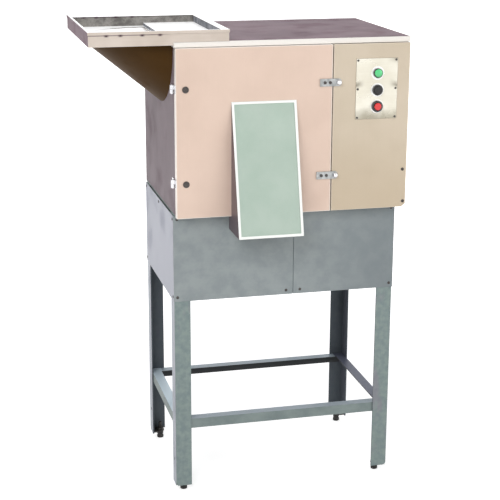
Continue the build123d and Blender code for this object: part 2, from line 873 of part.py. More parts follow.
def make_controls():
    plate = block(plate_x0, plate_x0 + plate_width, -plate_sheet, 0, plate_z0, plate_z0 + plate_height)
    for z in control_z.values():
        plate -= rod((control_x, -plate_sheet - through, z), barrel_r + fit_clearance,
                     plate_sheet + 2 * through, "y")
    for x, z in plate_screw_places():
        plate -= screw_hole(x, 0, z, "y", screw_shank_r, plate_sheet + through)
    save("control_plate", plate)
    screws = [pan_screw(x, -plate_sheet, z, "-y", plate_screw_head_r, plate_screw_head_height, screw_shank_r,
                        plate_sheet + sheet + screw_tail)
              for x, z in plate_screw_places()]
    screws += [pan_screw(x, 0, z, "-y", panel_screw_head_r, panel_screw_head_height, panel_screw_r,
                         wall_front + sheet)
               for x, z in panel_screw_places]
    save("panel_screws", *screws)
    face = -plate_sheet
    floor = face - bezel_floor
    rim = face - bezel_height
    bezels = []
    for name, z in control_z.items():
        r = bezel_r[name]
        profile = [(face, r), (rim + bezel_edge_height, r), (rim, r - bezel_edge), (rim, bezel_bore_r),
                   (floor, bezel_bore_r), (floor, stem_bore_r), (sheet, stem_bore_r), (sheet, barrel_r),
                   (face, barrel_r)]
        bezels.append(turned_y(profile, control_x, z))
    save("control_bezels", *bezels)
    cap_front = rim - cap_proud
    cap_back = cap_front + cap_height
    stem_end = sheet - stem_setback
    for name, r in cap_r.items():
        cap = [(cap_front, 0), (cap_front, r - cap_edge), (cap_front + cap_edge, r), (cap_back, r),
               (cap_back, cap_stem_r), (stem_end, cap_stem_r), (stem_end, 0)]
        save(f"{name}_button", turned_y(cap, control_x, control_z[name]))
    lens_r = bezel_bore_r - lens_gap
    lens = []
    for i in range(lens_steps + 1):
        a = math.radians(90 * i / lens_steps)
        lens.append((rim - lens_edge - lens_dome * math.cos(a), lens_r * math.sin(a)))
    lens += [(floor, lens_r), (floor, cap_stem_r), (stem_end, cap_stem_r), (stem_end, 0)]
    save("lamp_lens", turned_y(lens, control_x, control_z["lamp"]))
    half = contact_width / 2
    blocks = []
    for z in control_z.values():
        body = block(control_x - half, control_x + half, sheet, sheet + contact_depth, z - half, z + half)
        body -= rod((control_x, sheet - through, z), stem_bore_r, through + button_travel + contact_room, "y")
        blocks.append(body)
    save("contact_blocks", *blocks)


# Door
def make_door():
    pan = front_pan(0, door_x1, cabinet_bottom, door_top)
    pan -= block(notch_x0, notch_x1, -through, front_depth + through, cabinet_bottom - through, notch_top)
    for z in fitting_z:
        pan -= screw_hole(ring_bolt_x, 0, z, "y", ring_shank_r, sheet + through)
    for x, z in strap_screw_places():
        pan -= screw_hole(x, 0, z, "y", screw_shank_r, sheet + through)
    save("door_panel", pan)


def strap_screw_places():
    return [(seam_x - offset + shift_x, z) for shift_x, z in zip(latch_shift, latch_z)
            for offset in strap_screw_offsets]


def make_hood():
    x0 = notch_x0 - hood_wall
    x1 = notch_x1 + hood_wall
    slope = hood_reach / (hood_top - hood_bottom)
    run = hood_plate * math.hypot(1, slope)
    plate = slab_x([(0, hood_top), (-hood_reach, hood_bottom), (-hood_reach + run, hood_bottom),
                    (0, hood_top - run / slope)], x0, x1)
    lean = math.degrees(math.atan(slope))
    length = math.hypot(hood_reach, hood_top - hood_bottom)
    middle = Pos((x0 + x1) / 2, -hood_reach / 2, (hood_top + hood_bottom) / 2) * Rot(90 - lean, 0, 0)
    field = RectangleRounded(x1 - x0 - 2 * hood_border, length - 2 * hood_border, hood_corner_r)
    plate -= middle * Pos(0, 0, -hood_recess) * extrude(field, 2 * hood_recess)
    side = [(0, hood_top - run / slope), (-hood_reach + run, hood_bottom), (hood_rear, hood_bottom),
            (hood_rear, cabinet_bottom - hood_base_gap), (0, cabinet_bottom - hood_base_gap)]
    for x in (x0, x1 - hood_wall):
        plate += slab_x(side, x, x + hood_wall)
    save("outlet_hood", plate)


def make_door_fittings():
    screws = []
    brackets = []
    ring_end = sheet + bracket_thickness + ring_tail
    groove = ring_groove_depth - ring_head_height
    ring = [(-ring_head_height, 0), (-ring_head_height, ring_core_r), (groove, ring_core_r),
            (groove, ring_groove_r), (-ring_head_height, ring_groove_r),
            (-ring_head_height, ring_bolt_r - ring_edge), (-ring_edge, ring_bolt_r), (0, ring_bolt_r),
            (0, ring_shank_r), (ring_end, ring_shank_r), (ring_end, 0)]
    near = sheet + bracket_thickness
    outline = [(sheet, sheet), (bracket_width, sheet), (bracket_width, near), (near, near),
               (near, front_depth - bracket_rear_gap), (sheet, front_depth - bracket_rear_gap)]
    for z in fitting_z:
        screws.append(turned_y(ring, ring_bolt_x, z))
        bracket = slab_z(outline, z - bracket_half_height, z + bracket_half_height)
        brackets.append(bracket - screw_hole(ring_bolt_x, sheet, z, "y", ring_shank_r, near))
    straps = []
    for (knob_x, z), shift_x in zip(latch_places, latch_shift):
        strap = block(seam_x - strap_left + shift_x, seam_x + strap_right + shift_x, -strap_thickness, 0,
                      z - strap_half_height, z + strap_half_height)
        edges = strap.edges().filter_by(Axis.Y)
        strap = fillet(edges.group_by(Axis.X)[-1], strap_corner_r)
        strap -= rod((knob_x, -strap_thickness - through, z), latch_shank_r + strap_bore_gap,
                     strap_thickness + 2 * through, "y")
        straps.append(strap)
    for x, z in strap_screw_places():
        hole = screw_hole(x, 0, z, "y", screw_shank_r, strap_thickness + through)
        straps = [drilled(strap, [hole]) for strap in straps]
        screws.append(pan_screw(x, -strap_thickness, z, "-y", strap_screw_head_r, strap_screw_head_height,
                                screw_shank_r, strap_thickness + sheet + screw_tail))
    save("door_screws", *screws)
    save("latch_straps", *straps)
    face = -strap_thickness
    dome = []
    for i in range(latch_dome_steps + 1):
        a = math.radians(90 * i / latch_dome_steps)
        reach = latch_knob_side + (latch_knob_height - latch_knob_side) * math.cos(a)
        dome.append((face - reach, latch_knob_r * math.sin(a)))
    knob = dome + [(face, latch_knob_r), (face, latch_shank_r), (latch_shank_end, latch_shank_r),
                   (latch_shank_end, 0)]
    for name, (x, z) in zip(("lower", "upper"), latch_places):
        save(f"latch_knob_{name}", turned_y(knob, x, z))
    make_hinges(brackets)


def make_hinges(brackets):
    """Two pinned hinges at the left front corner: the lower knuckle is the wall's."""
    y = front_depth
    link = hinge_link
    wall_side = []
    door_side = []
    for z in fitting_z:
        low = z - hinge_half_height
        half = hinge_half_height - hinge_gap
        high = z + hinge_gap
        top = z + hinge_half_height
        leaf = block(-hinge_leaf, 0, y + link, y + hinge_leaf_reach, low, top)
        leaf += block(hinge_axis_x, 0, y + front_seat_gap, y + link, low, low + half)
        leaf += rod((hinge_axis_x, y, low), hinge_knuckle_r, half, "z")
        pin_z = low - hinge_pin_proud
        pin_length = 2 * (hinge_half_height + hinge_pin_proud)
        leaf += rod((hinge_axis_x, y, pin_z), hinge_pin_r, pin_length, "z")
        wall_side.append(leaf)
        flap = block(-hinge_leaf, 0, hinge_flap_inset, y - link, low, top)
        flap += block(hinge_axis_x, 0, y - link, y - hinge_link_gap, high, top)
        flap += rod((hinge_axis_x, y, high), hinge_knuckle_r, half, "z")
        flap -= rod((hinge_axis_x, y, pin_z), hinge_pin_r + running_clearance, pin_length, "z")
        door_side.append(flap)
    save("hinge_leaves_wall", *wall_side)
    save("hinge_leaves_door", *(door_side + brackets))


# Hopper
def make_hopper():
    t = tray_sheet
    step_x = -lid_overhang - lip_clearance
    high = cabinet_top
    left = block(tray_x0, step_x, tray_y0, tray_y1, tray_low, tray_top)
    right = block(step_x, tray_x1, tray_y0, tray_y1, high, tray_top)
    shell = left + right
    inner = block(tray_x0 + t, step_x - t, tray_y0 + t, tray_y1 - t, tray_low + t, tray_top)
    inner += block(step_x - t, tray_x1 - t, tray_y0 + t, tray_y1 - t, high + t, tray_top)
    shell -= inner
    rim_z = tray_top - tray_rim_height
    out = tray_rim_out
    rim = block(tray_x0 - out, tray_x1 + out, tray_y0 - out, tray_y1 + out, rim_z, tray_top)
    rim -= block(tray_x0 + tray_rim_in, tray_x1 - tray_rim_in, tray_y0 + tray_rim_in, tray_y1 - tray_rim_in,
                 rim_z, tray_top)
    tray = shell + rim
    tray -= trough_inside(0.0) & block(tray_x0, step_x - t - trough_step_gap, tray_y0, tray_y1,
                                       tray_low - through, tray_low + t + through)
    for x, y in hopper_screw_places():
        tray -= rod((x, y, cabinet_top - through), tray_screw_hole_r, t + 2 * through, "z")
    save("hopper_tray", tray)
    outer = ellipse_prism(trough_half_width, trough_drop, -trough_run - trough_margin, trough_margin)
    trough = outer - trough_inside(trough_margin + sheet)
    keep = block(tray_x0, step_x, tray_y0, tray_y1, cabinet_bottom, tray_low)
    keep += block(step_x - through, 0, tray_y0, tray_y1, cabinet_bottom,
                  cabinet_top - lid_lip_height - lip_clearance)
    save("hopper_trough", trough & keep)


def hopper_screw_places():
    inset = tray_screw_inset
    return [(x, y) for x in (inset, tray_x1 - inset) for y in (tray_y0 + inset, tray_y1 - inset)]


# Cutting unit
def at_knife(shape):
    """Turns what is drawn at the top of the drum to the knife's place."""
    return Pos(0, axis_y, axis_z) * Rot(90 - knife_angle, 0, 0) * shape


def ring_sector(inner_r, outer_r, start, end, x0, x1):
    """Part of a ring about the drum's line, from start to end degrees in front of the top."""
    points = []
    steps = math.ceil(abs(end - start) / sector_step)
    reach = outer_r * sector_reach
    for i in range(steps + 1):
        a = math.radians(start + (end - start) * i / steps)
        points.append((-reach * math.sin(a), reach * math.cos(a)))
    wedge = [(0, 0)] + points
    ring = tube((x0, 0, 0), outer_r, inner_r, x1 - x0, "x")
    return ring & slab_x(wedge, x0, x1)


def make_drum():
    outer = drum_r + drum_wall
    x0 = drum_x0
    x1 = drum_x1
    shell = tube((x0, 0, 0), outer, drum_r, x1 - x0, "x")
    window_x0 = x0 + drum_side
    window_x1 = x1 - drum_flange
    shell -= ring_sector(drum_r - through, outer + through, -window_rear, window_front, window_x0, window_x1)
    shell += tube((x0, 0, 0), outer, mouth_r, drum_side, "x")
    shell += tube((window_x1, 0, 0), drum_flange_r, drum_r, drum_flange, "x")
    a = math.radians(gate_pivot_angle)
    pivot = (gate_pivot_r * math.sin(a), gate_pivot_r * math.cos(a))
    shell += rod((x0, *pivot), gate_boss_r, drum_side, "x") - rod((x0, 0, 0), drum_r, drum_side, "x")
    shell -= rod((x0 - through, *pivot), gate_pin_r + running_clearance, x1 - x0 + 2 * through, "x")
    top = drum_r
    outline = [(-holder_setback, 0), (-holder_setback, top), (-holder_length, top), (-holder_length, 0)]
    holder = slab_x(outline, window_x0, window_x1) - rod((x0, 0, 0), drum_r, x1 - x0, "x")
    shell += holder & rod((x0, 0, 0), drum_flange_r, x1 - x0, "x")
    save("drum_casing", at_knife(shell))
    blade = [(0, top), (-knife_bevel, top + knife_thickness), (-knife_length, top + knife_thickness),
             (-knife_length, top)]
    blade_x0 = window_x0 + side_clearance
    blade_x1 = window_x1 - side_clearance
    knife = slab_x(blade, blade_x0, blade_x1)
    heads = []
    for share in knife_screw_shares:
        x = blade_x0 + share * (blade_x1 - blade_x0)
        heads.append(rod((x, -knife_screw_setback, top + knife_thickness), knife_screw_r, knife_screw_height, "z"))
    save("slice_knife", at_knife(knife), *[at_knife(h) for h in heads])
    gate_inner = drum_r + gate_clearance
    gate = ring_sector(gate_inner, gate_inner + drum_wall, -gate_rear, -gate_front, blade_x0, blade_x1)
    gate += rod((blade_x0, *pivot), gate_barrel_r, blade_x1 - blade_x0, "x")
    gate -= rod((x0, 0, 0), gate_inner, x1 - x0, "x")
    gate += rod((x0, *pivot), gate_pin_r, x1 - x0, "x")
    opened = Pos(0, *pivot) * Rot(-gate_rest_angle, 0, 0) * Pos(0, -pivot[0], -pivot[1]) * gate
    save("slice_gate", at_knife(opened))


def make_impeller():
    tip = drum_r - paddle_tip_gap
    x0 = paddle_x0
    disc = rod((impeller_disc_x0, 0, 0), impeller_disc_r, impeller_disc_x1 - impeller_disc_x0, "x")
    hub = rod((impeller_hub_x0, 0, 0), impeller_hub_r, impeller_disc_x1 - impeller_hub_x0, "x")
    arc = tube((x0, 0, 0), paddle_arc_r, paddle_arc_r - paddle_thickness, impeller_disc_x0 - x0, "x")
    keep = tube((x0, 0, 0), tip, impeller_hub_r - paddle_root, impeller_disc_x0 - x0, "x")
    keep = keep & block(x0, impeller_disc_x0, -tip, tip, 0, tip)
    middle_r = paddle_arc_r - paddle_thickness / 2
    paddle = (Pos(0, middle_r, 0) * arc) & keep
    wheel = disc + hub
    for i in range(paddle_count):
        wheel += Rot(360 * i / paddle_count, 0, 0) * paddle
    bore_x0 = impeller_hub_x0 + impeller_hub_cap
    wheel -= rod((bore_x0, 0, 0), main_shaft_r + fit_clearance, impeller_disc_x1 - bore_x0 + through, "x")
    save("impeller", Pos(0, axis_y, axis_z) * wheel)


def gear(teeth, x0, x1, bore_r, phase):
    """A spur gear about X with straight-sided teeth, its first tooth at phase degrees from +Y."""
    pitch_r = module_mm * teeth / 2
    tip_r = pitch_r + module_mm
    root_r = pitch_r - module_mm * root_clearance
    points = []
    step = 2 * math.pi / teeth
    half = step * tooth_share / 2
    for i in range(teeth):
        a = math.radians(phase) + i * step
        for r, share in ((root_r, tooth_root_share), (tip_r, tooth_tip_share)):
            points.append((r, a - half * share))
        for r, share in ((tip_r, tooth_tip_share), (root_r, tooth_root_share)):
            points.append((r, a + half * share))
    outline = [(r * math.cos(a), r * math.sin(a)) for r, a in points]
    wheel = slab_x(outline, x0, x1)
    return wheel - rod((x0 - through, 0, 0), bore_r, x1 - x0 + 2 * through, "x")


def mesh_phase(teeth, toward):
    """The phase that puts a gap, not a tooth, of a gear on the line toward its driver."""
    return toward + 180.0 / teeth


def make_rotors():
    y, z = axis_y, axis_z
    start = impeller_hub_x0 + impeller_hub_cap + fit_clearance
    save("main_shaft", turned([(start, 0), (start, main_shaft_r), (main_shaft_x1 - shaft_chamfer, main_shaft_r),
                               (main_shaft_x1, main_shaft_r - shaft_chamfer), (main_shaft_x1, 0)], y, z))
    hub_end = gear_x1 + gear_hub
    line = 180.0 - disc_axis_angle
    wheel = gear(main_teeth, gear_x0, gear_x1, main_shaft_r + fit_clearance, line)
    wheel += tube((gear_x1, 0, 0), gear_hub_r, main_shaft_r + fit_clearance, gear_hub, "x")
    for i in range(gear_window_count):
        window = rod((gear_x0 - through, gear_window_at, 0), gear_window_r, gear_width + 2 * through, "x")
        wheel -= Rot(360 * i / gear_window_count, 0, 0) * window
    save("main_gear", Pos(0, y, z) * wheel)
    save("main_pulley", Pos(0, y, z) * pulley(main_pulley_r, hub_end, main_shaft_r + fit_clearance))
    spindle_line = line + 180.0
    shaft = [(side_shaft_x0, 0), (side_shaft_x0, side_shaft_r), (side_shaft_x1, side_shaft_r), (side_shaft_x1, 0)]
    bore = side_shaft_r + fit_clearance
    toothed = gear(disc_teeth, gear_x0, gear_x1, bore, mesh_phase(disc_teeth, spindle_line))
    toothed = Pos(0, disc_y, disc_z) * toothed
    profile = [(disc_x0 - disc_hub_end, bore), (disc_x0 - disc_hub_end, disc_hub_r)]
    half = disc_knife_thickness / 2
    for i in range(disc_knife_count):
        x = disc_x0 + i * disc_pitch
        profile += [(x - half, disc_hub_r), (x - half, disc_knife_r - disc_knife_bevel), (x, disc_knife_r),
                    (x + half, disc_knife_r - disc_knife_bevel), (x + half, disc_hub_r)]
    end = disc_x0 + (disc_knife_count - 1) * disc_pitch + disc_hub_end
    profile += [(end, disc_hub_r), (end, bore)]
    save("disc_rotor", turned(shaft, disc_y, disc_z), turned(profile, disc_y, disc_z), toothed)
    disc_tooth_step = 360.0 / disc_teeth
    toward_crosscut = 180.0 + crosscut_drop_angle
    disc_phase = mesh_phase(disc_teeth, spindle_line)
    offset = (toward_crosscut - disc_phase) % disc_tooth_step
    crosscut_step = 360.0 / crosscut_teeth
    share = offset / disc_tooth_step
    phase = toward_crosscut + 180.0 + crosscut_step * (0.5 + share)
    toothed = Pos(0, crosscut_y, crosscut_z) * gear(crosscut_teeth, gear_x0, gear_x1, bore, phase)
    hub = tube((crosscut_x0, 0, 0), crosscut_hub_r, bore, crosscut_x1 - crosscut_x0, "x")
    half = crosscut_blade / 2
    root = crosscut_hub_r - crosscut_root
    blade = [(-half, root), (-half, crosscut_r - crosscut_bevel), (half, crosscut_r), (half, root)]
    for i in range(crosscut_blades):
        hub += Rot(360 * i / crosscut_blades, 0, 0) * slab_x(blade, crosscut_x0, crosscut_x1)
    save("crosscut_rotor", turned(shaft, crosscut_y, crosscut_z), Pos(0, crosscut_y, crosscut_z) * hub, toothed)


def groove_x(i, x0):
    middle = x0 + pulley_width / 2
    return middle + (i - (belt_count - 1) / 2) * belt_pitch


def pulley(radius, hub_x0, bore_r):
    """A grooved pulley about X, its hub reaching back to hub_x0."""
    x0 = pulley_x0
    x1 = x0 + pulley_width
    half_top = belt_width / 2 + belt_gap + groove_gap
    half_root = half_top - groove_taper
    hub_r = bore_r + pulley_hub_wall
    rim_r = radius + pulley_rim
    profile = [(hub_x0, bore_r), (hub_x0, hub_r), (x0, hub_r), (x0, rim_r)]
    for i in range(belt_count):
        x = groove_x(i, x0)
        profile += [(x - half_top, rim_r), (x - half_root, rim_r - groove_depth),
                    (x + half_root, rim_r - groove_depth), (x + half_top, rim_r)]
    profile += [(x1, rim_r), (x1, bore_r)]
    wheel = turned(profile, 0, 0)
    web_out = radius - pulley_rim_depth
    if web_out > hub_r + pulley_hub_wall:
        wheel -= tube((x0 + pulley_web_start, 0, 0), web_out, hub_r, pulley_width, "x")
    return wheel


def belt_outline(offset):
    """The open-belt outline around both pulleys, offset outwards from the groove roots."""
    top_r = main_pulley_r + pulley_rim - groove_depth + offset
    low_r = motor_pulley_r + pulley_rim - groove_depth + offset
    distance = axis_z - motor_axis_z
    lean = math.asin((top_r - low_r) / distance)
    c = math.cos(lean)
    s = math.sin(lean)
    a = (axis_y + top_r * c, axis_z - top_r * s)
    b = (axis_y, axis_z + top_r)
    d = (axis_y - top_r * c, axis_z - top_r * s)
    e = (axis_y - low_r * c, motor_axis_z - low_r * s)
    f = (axis_y, motor_axis_z - low_r)
    g = (axis_y + low_r * c, motor_axis_z - low_r * s)
    return a, b, d, e, f, g


def belt_prism(offset, x0, width):
    a, b, d, e, f, g = [(x0, *p) for p in belt_outline(offset)]
    wire = Wire([*Wire(ThreePointArc(a, b, d)).edges(), *Wire(Line(d, e)).edges(),
                 *Wire(ThreePointArc(e, f, g)).edges(), *Wire(Line(g, a)).edges()])
    return extrude(make_face(wire), width, dir=(1, 0, 0))


def make_drive():
    belts = []
    for i in range(belt_count):
        x = groove_x(i, pulley_x0)
        wide = belt_width / 2
        narrow = wide - belt_taper
        wide -= belt_step
        step = belt_height / 2
        low = belt_prism(belt_gap + step, x - narrow, 2 * narrow) - belt_prism(belt_gap, x - narrow, 2 * narrow)
        high = belt_prism(belt_gap + belt_height, x - wide, 2 * wide)
        high -= belt_prism(belt_gap + step, x - wide, 2 * wide)
        belts.append(low + high)
    save("v_belts", *belts)
    y, z = axis_y, motor_axis_z
    bore = motor_shaft_r + fit_clearance
    shaft_x0 = motor_x1 - motor_shaft_inside
    shaft = rod((shaft_x0, 0, 0), motor_shaft_r, pulley_x0 + pulley_width - shaft_x0, "x")
    hub_x0 = motor_x1 + motor_shaft_inside
    save("motor_pulley", Pos(0, y, z) * pulley(motor_pulley_r, hub_x0, bore), Pos(0, y, z) * shaft)
    shell_x0 = motor_x0 + motor_shell_start
    body = rod((shell_x0, 0, 0), motor_r, motor_x1 - motor_shell_end - shell_x0, "x")
    fin_out = motor_r + motor_fin
    fins = block(motor_x0 + motor_fin_start, motor_x1 - motor_fin_end, -fin_out, fin_out,
                 -motor_fin_half, motor_fin_half)
    for i in range(motor_fins // 2):
        body += Rot(360 * i / motor_fins, 0, 0) * fins
    body += rod((motor_x0, 0, 0), fin_out, motor_cover, "x")
    body += rod((motor_x1 - motor_bell_end, 0, 0), motor_r + motor_bell_step, motor_bell, "x")
    body += rod((motor_x1 - motor_nose, 0, 0), motor_nose_r, motor_nose, "x")
    foot_z = motor_foot_z - z
    narrow = motor_r * motor_foot_share
    for start in motor_foot_starts:
        x = motor_x0 + start
        x1 = x + motor_foot_width
        body += block(x, x1, -motor_r, motor_r, foot_z, foot_z + motor_foot_thickness)
        body += block(x, x1, -narrow, narrow, foot_z, -narrow)
    box_start = motor_x0 + terminal_start
    body += block(box_start, box_start + terminal_length, -terminal_half_width, terminal_half_width,
                  motor_r - terminal_sink, motor_r + terminal_height)
    body -= rod((shaft_x0 - through, 0, 0), motor_shaft_r + motor_shaft_gap, motor_x1 - shaft_x0 + 2 * through, "x")
    save("motor_body", Pos(0, y, z) * body)
    make_cradle()


def make_cradle():
    """A hat-section sheet that hangs under the base plate and carries the motor."""
    t = cradle_sheet
    w = cradle_half_width
    f = cradle_flange
    z0 = motor_foot_z - t
    z1 = cabinet_bottom
    half = [(w + f, z1), (w + f, z1 - t), (w + t, z1 - t), (w + t, z0), (-w - t, z0), (-w - t, z1 - t),
            (-w - f, z1 - t), (-w - f, z1), (-w, z1), (-w, z0 + t), (w, z0 + t), (w, z1)]
    outline = [(axis_y + y, z) for y, z in half]
    before, after = cradle_margins
    save("motor_cradle", slab_x(outline, motor_x0 - before, motor_x1 + after))


def bearing_unit(y, z, shaft_r, outer_r):
    """A tubular housing between the mechanism plate and the partition, with its two bearings."""
    x0 = mech_x1
    x1 = partition_x0
    body = tube((x0, y, z), outer_r + housing_wall, outer_r, x1 - x0, "x")
    flange_r = outer_r + housing_wall + housing_flange_width
    for x in (x0, x1 - housing_flange):
        body += tube((x, y, z), flange_r, outer_r, housing_flange, "x")
    rings = []
    for x in (x0 + bearing_inset, x1 - bearing_inset - bearing_width):
        rings.append(tube((x, y, z), outer_r, shaft_r + running_clearance, bearing_width, "x"))
    return [body] + rings


def make_mechanism():
    outline = [(mech_front, base_top), (mech_rear, base_top), (mech_rear, mech_top - mech_cut_rear),
               (mech_rear - mech_cut_rear, mech_top), (mech_front + mech_cut_front, mech_top),
               (mech_front, mech_top - mech_cut_front)]
    plate = slab_x(outline, mech_x0, mech_x1)
    for y, z, r in ((axis_y, axis_z, main_shaft_r), (disc_y, disc_z, side_shaft_r),
                    (crosscut_y, crosscut_z, side_shaft_r)):
        plate -= rod((mech_x0 - through, y, z), r + side_hole_gap, mech_plate + 2 * through, "x")
    save("mechanism_plate", plate)
    units = bearing_unit(axis_y, axis_z, main_shaft_r, main_bearing_r)
    units += bearing_unit(disc_y, disc_z, side_shaft_r, side_bearing_r)
    units += bearing_unit(crosscut_y, crosscut_z, side_shaft_r, side_bearing_r)
    save("bearing_units", *units)


def throat_face(x, y, z, half_width, drop):
    """The lower half of an ellipse as a many-sided face, closed along its top, standing across x."""
    points = []
    for i in range(throat_sides + 1):
        a = math.pi * i / throat_sides
        points.append((x, y + half_width * math.cos(a), z - drop * math.sin(a)))
    return make_face(Polyline(*points, close=True))


def throat_loft(wall, lift, before):
    """A folded funnel from the wall's inlet to the drum's mouth, wall mm outside its way."""
    x0 = sheet
    x1 = throat_end_x
    faces = []
    for x in (x0 - before, x1 + before):
        share = (x - x0) / (x1 - x0)
        half = trough_half_width + share * (throat_end_half_width - trough_half_width) + wall
        drop = throat_start_drop + share * (throat_end_drop - throat_start_drop) + wall
        y = tray_mid_y + share * (axis_y - tray_mid_y)
        z = inlet_top + share * (throat_end_z - inlet_top) + lift
        faces.append(throat_face(x, y, z, half, drop + lift))
    return loft(faces, ruled=True)


def make_throat():
    t = sheet
    half = trough_half_width + throat_flange_side
    flange = block(t, 2 * t, tray_mid_y - half, tray_mid_y + half,
                   inlet_top - throat_start_drop - throat_flange, inlet_top)
    save("feed_throat", (throat_loft(t, 0.0, 0.0) + flange) - throat_loft(0.0, through, through))


def make_chute():
    x0 = chute_x0
    x1 = drum_x1
    t = sheet
    y0 = wall_front + chute_front_gap
    y1 = axis_y - chute_rear_offset
    z = base_top
    front_z = cabinet_bottom + chute_front_rise
    rear_z = axis_z - chute_rear_drop
    side = [(y0, z), (y1, z), (y1, axis_z - chute_rear_side_drop),
            (axis_y - chute_mid_offset, axis_z - chute_front_side_drop), (y0, axis_z - chute_front_side_drop)]
    floor = [(y0, front_z), (y0, front_z - chute_floor), (y1, rear_z - chute_floor), (y1, rear_z)]
    chute = slab_x(side, x0, x0 + t) + slab_x(side, x1 - t, x1) + slab_x(floor, x0, x1)
    save("discharge_chute", chute)


def make_comb():
    """The stripper comb: a bar under the disc knives with a finger in each gap between them."""
    a = math.radians(comb_angle)
    direction = (math.cos(a), -math.sin(a))
    x0 = disc_x0 - disc_hub_end
    half = comb_bar / 2
    bar = block(x0, mech_x0, -half, half, -half, half)
    reach = comb_finger_reach
    finger_width = disc_pitch - disc_knife_thickness - 2 * comb_side_gap
    comb = bar
    for i in range(disc_knife_count - 1):
        x = disc_x0 + (i + 0.5) * disc_pitch
        comb += block(x - finger_width / 2, x + finger_width / 2, -comb_finger / 2, comb_finger / 2, 0, reach)
    turn = Rot(90 - comb_angle, 0, 0)
    y = disc_y + direction[0] * comb_distance
    z = disc_z + direction[1] * comb_distance
    save("stripper_comb", Pos(0, y, z) * turn * comb)


def main():
    os.makedirs("parts", exist_ok=True)
    make_legs()
    make_rails()
    make_top_frame()
    make_feet()
    make_skirts()
    make_gland()
    make_walls()
    make_base()
    make_lid()
    make_drive_panel()
    make_controls()
    make_door()
    make_hood()
    make_door_fittings()
    make_hopper()
    make_drum()
    make_impeller()
    make_rotors()
    make_drive()
    make_mechanism()
    make_throat()
    make_chute()
    make_comb()


main()
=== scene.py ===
import json
import math

import bmesh
import bpy
from mathutils import Matrix, Vector


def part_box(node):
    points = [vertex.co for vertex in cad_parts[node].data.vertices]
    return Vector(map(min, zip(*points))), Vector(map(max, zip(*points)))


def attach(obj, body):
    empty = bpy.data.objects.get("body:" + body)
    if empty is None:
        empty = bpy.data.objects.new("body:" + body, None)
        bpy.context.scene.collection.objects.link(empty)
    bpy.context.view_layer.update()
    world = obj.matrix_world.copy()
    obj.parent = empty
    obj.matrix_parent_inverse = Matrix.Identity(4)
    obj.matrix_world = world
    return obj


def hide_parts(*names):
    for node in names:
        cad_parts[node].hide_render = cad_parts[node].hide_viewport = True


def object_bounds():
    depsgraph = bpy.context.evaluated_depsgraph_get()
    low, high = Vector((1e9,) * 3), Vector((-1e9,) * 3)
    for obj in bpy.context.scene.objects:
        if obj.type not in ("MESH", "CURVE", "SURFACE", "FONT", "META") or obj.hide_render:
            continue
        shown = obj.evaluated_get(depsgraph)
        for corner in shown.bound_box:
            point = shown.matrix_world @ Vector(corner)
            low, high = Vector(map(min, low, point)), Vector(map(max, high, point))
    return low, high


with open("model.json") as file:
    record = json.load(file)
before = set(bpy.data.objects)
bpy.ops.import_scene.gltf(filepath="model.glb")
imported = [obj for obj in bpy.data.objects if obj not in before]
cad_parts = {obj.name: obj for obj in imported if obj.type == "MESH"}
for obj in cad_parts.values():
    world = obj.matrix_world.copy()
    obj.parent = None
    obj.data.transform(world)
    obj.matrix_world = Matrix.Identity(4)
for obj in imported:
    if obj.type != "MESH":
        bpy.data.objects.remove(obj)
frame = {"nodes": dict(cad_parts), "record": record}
cad_low, cad_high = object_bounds()

# Places taken from the frame
FLOOR_Z = 0.0
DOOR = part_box("door_panel")
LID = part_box("lid")
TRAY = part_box("hopper_tray")
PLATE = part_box("control_plate")
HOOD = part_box("outlet_hood")
MIDDLE = (cad_low + cad_high) / 2
STAND_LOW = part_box("leg_front_left")[0]
STAND_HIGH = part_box("leg_rear_right")[1]
STAND_MIDDLE = (STAND_LOW + STAND_HIGH) / 2
LEFT_FACE_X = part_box("left_wall")[0].x
FRONT_FACE_Y = DOOR[0].y

# The photograph's view: the camera's place from the cabinet's lower left front edge, and its lens
CAMERA_OFFSET = Vector((-0.6563, -3.4159, 1.7083))
CAMERA_YAW = 14.08
CAMERA_PITCH = 15.76
CAMERA_ROLL = 0.25
FOCAL_PIXELS = 1348.1
PICTURE_PIXELS = 500
SENSOR_MM = 36.0

MM = 0.001


def tone(red, green, blue):
    """An sRGB colour of 0 to 255 as the linear colour that a shader takes."""
    linear = []
    for value in (red, green, blue):
        share = value / 255
        linear.append(share / 12.92 if share <= 0.04045 else ((share + 0.055) / 1.055) ** 2.4)
    return (*linear, 1.0)


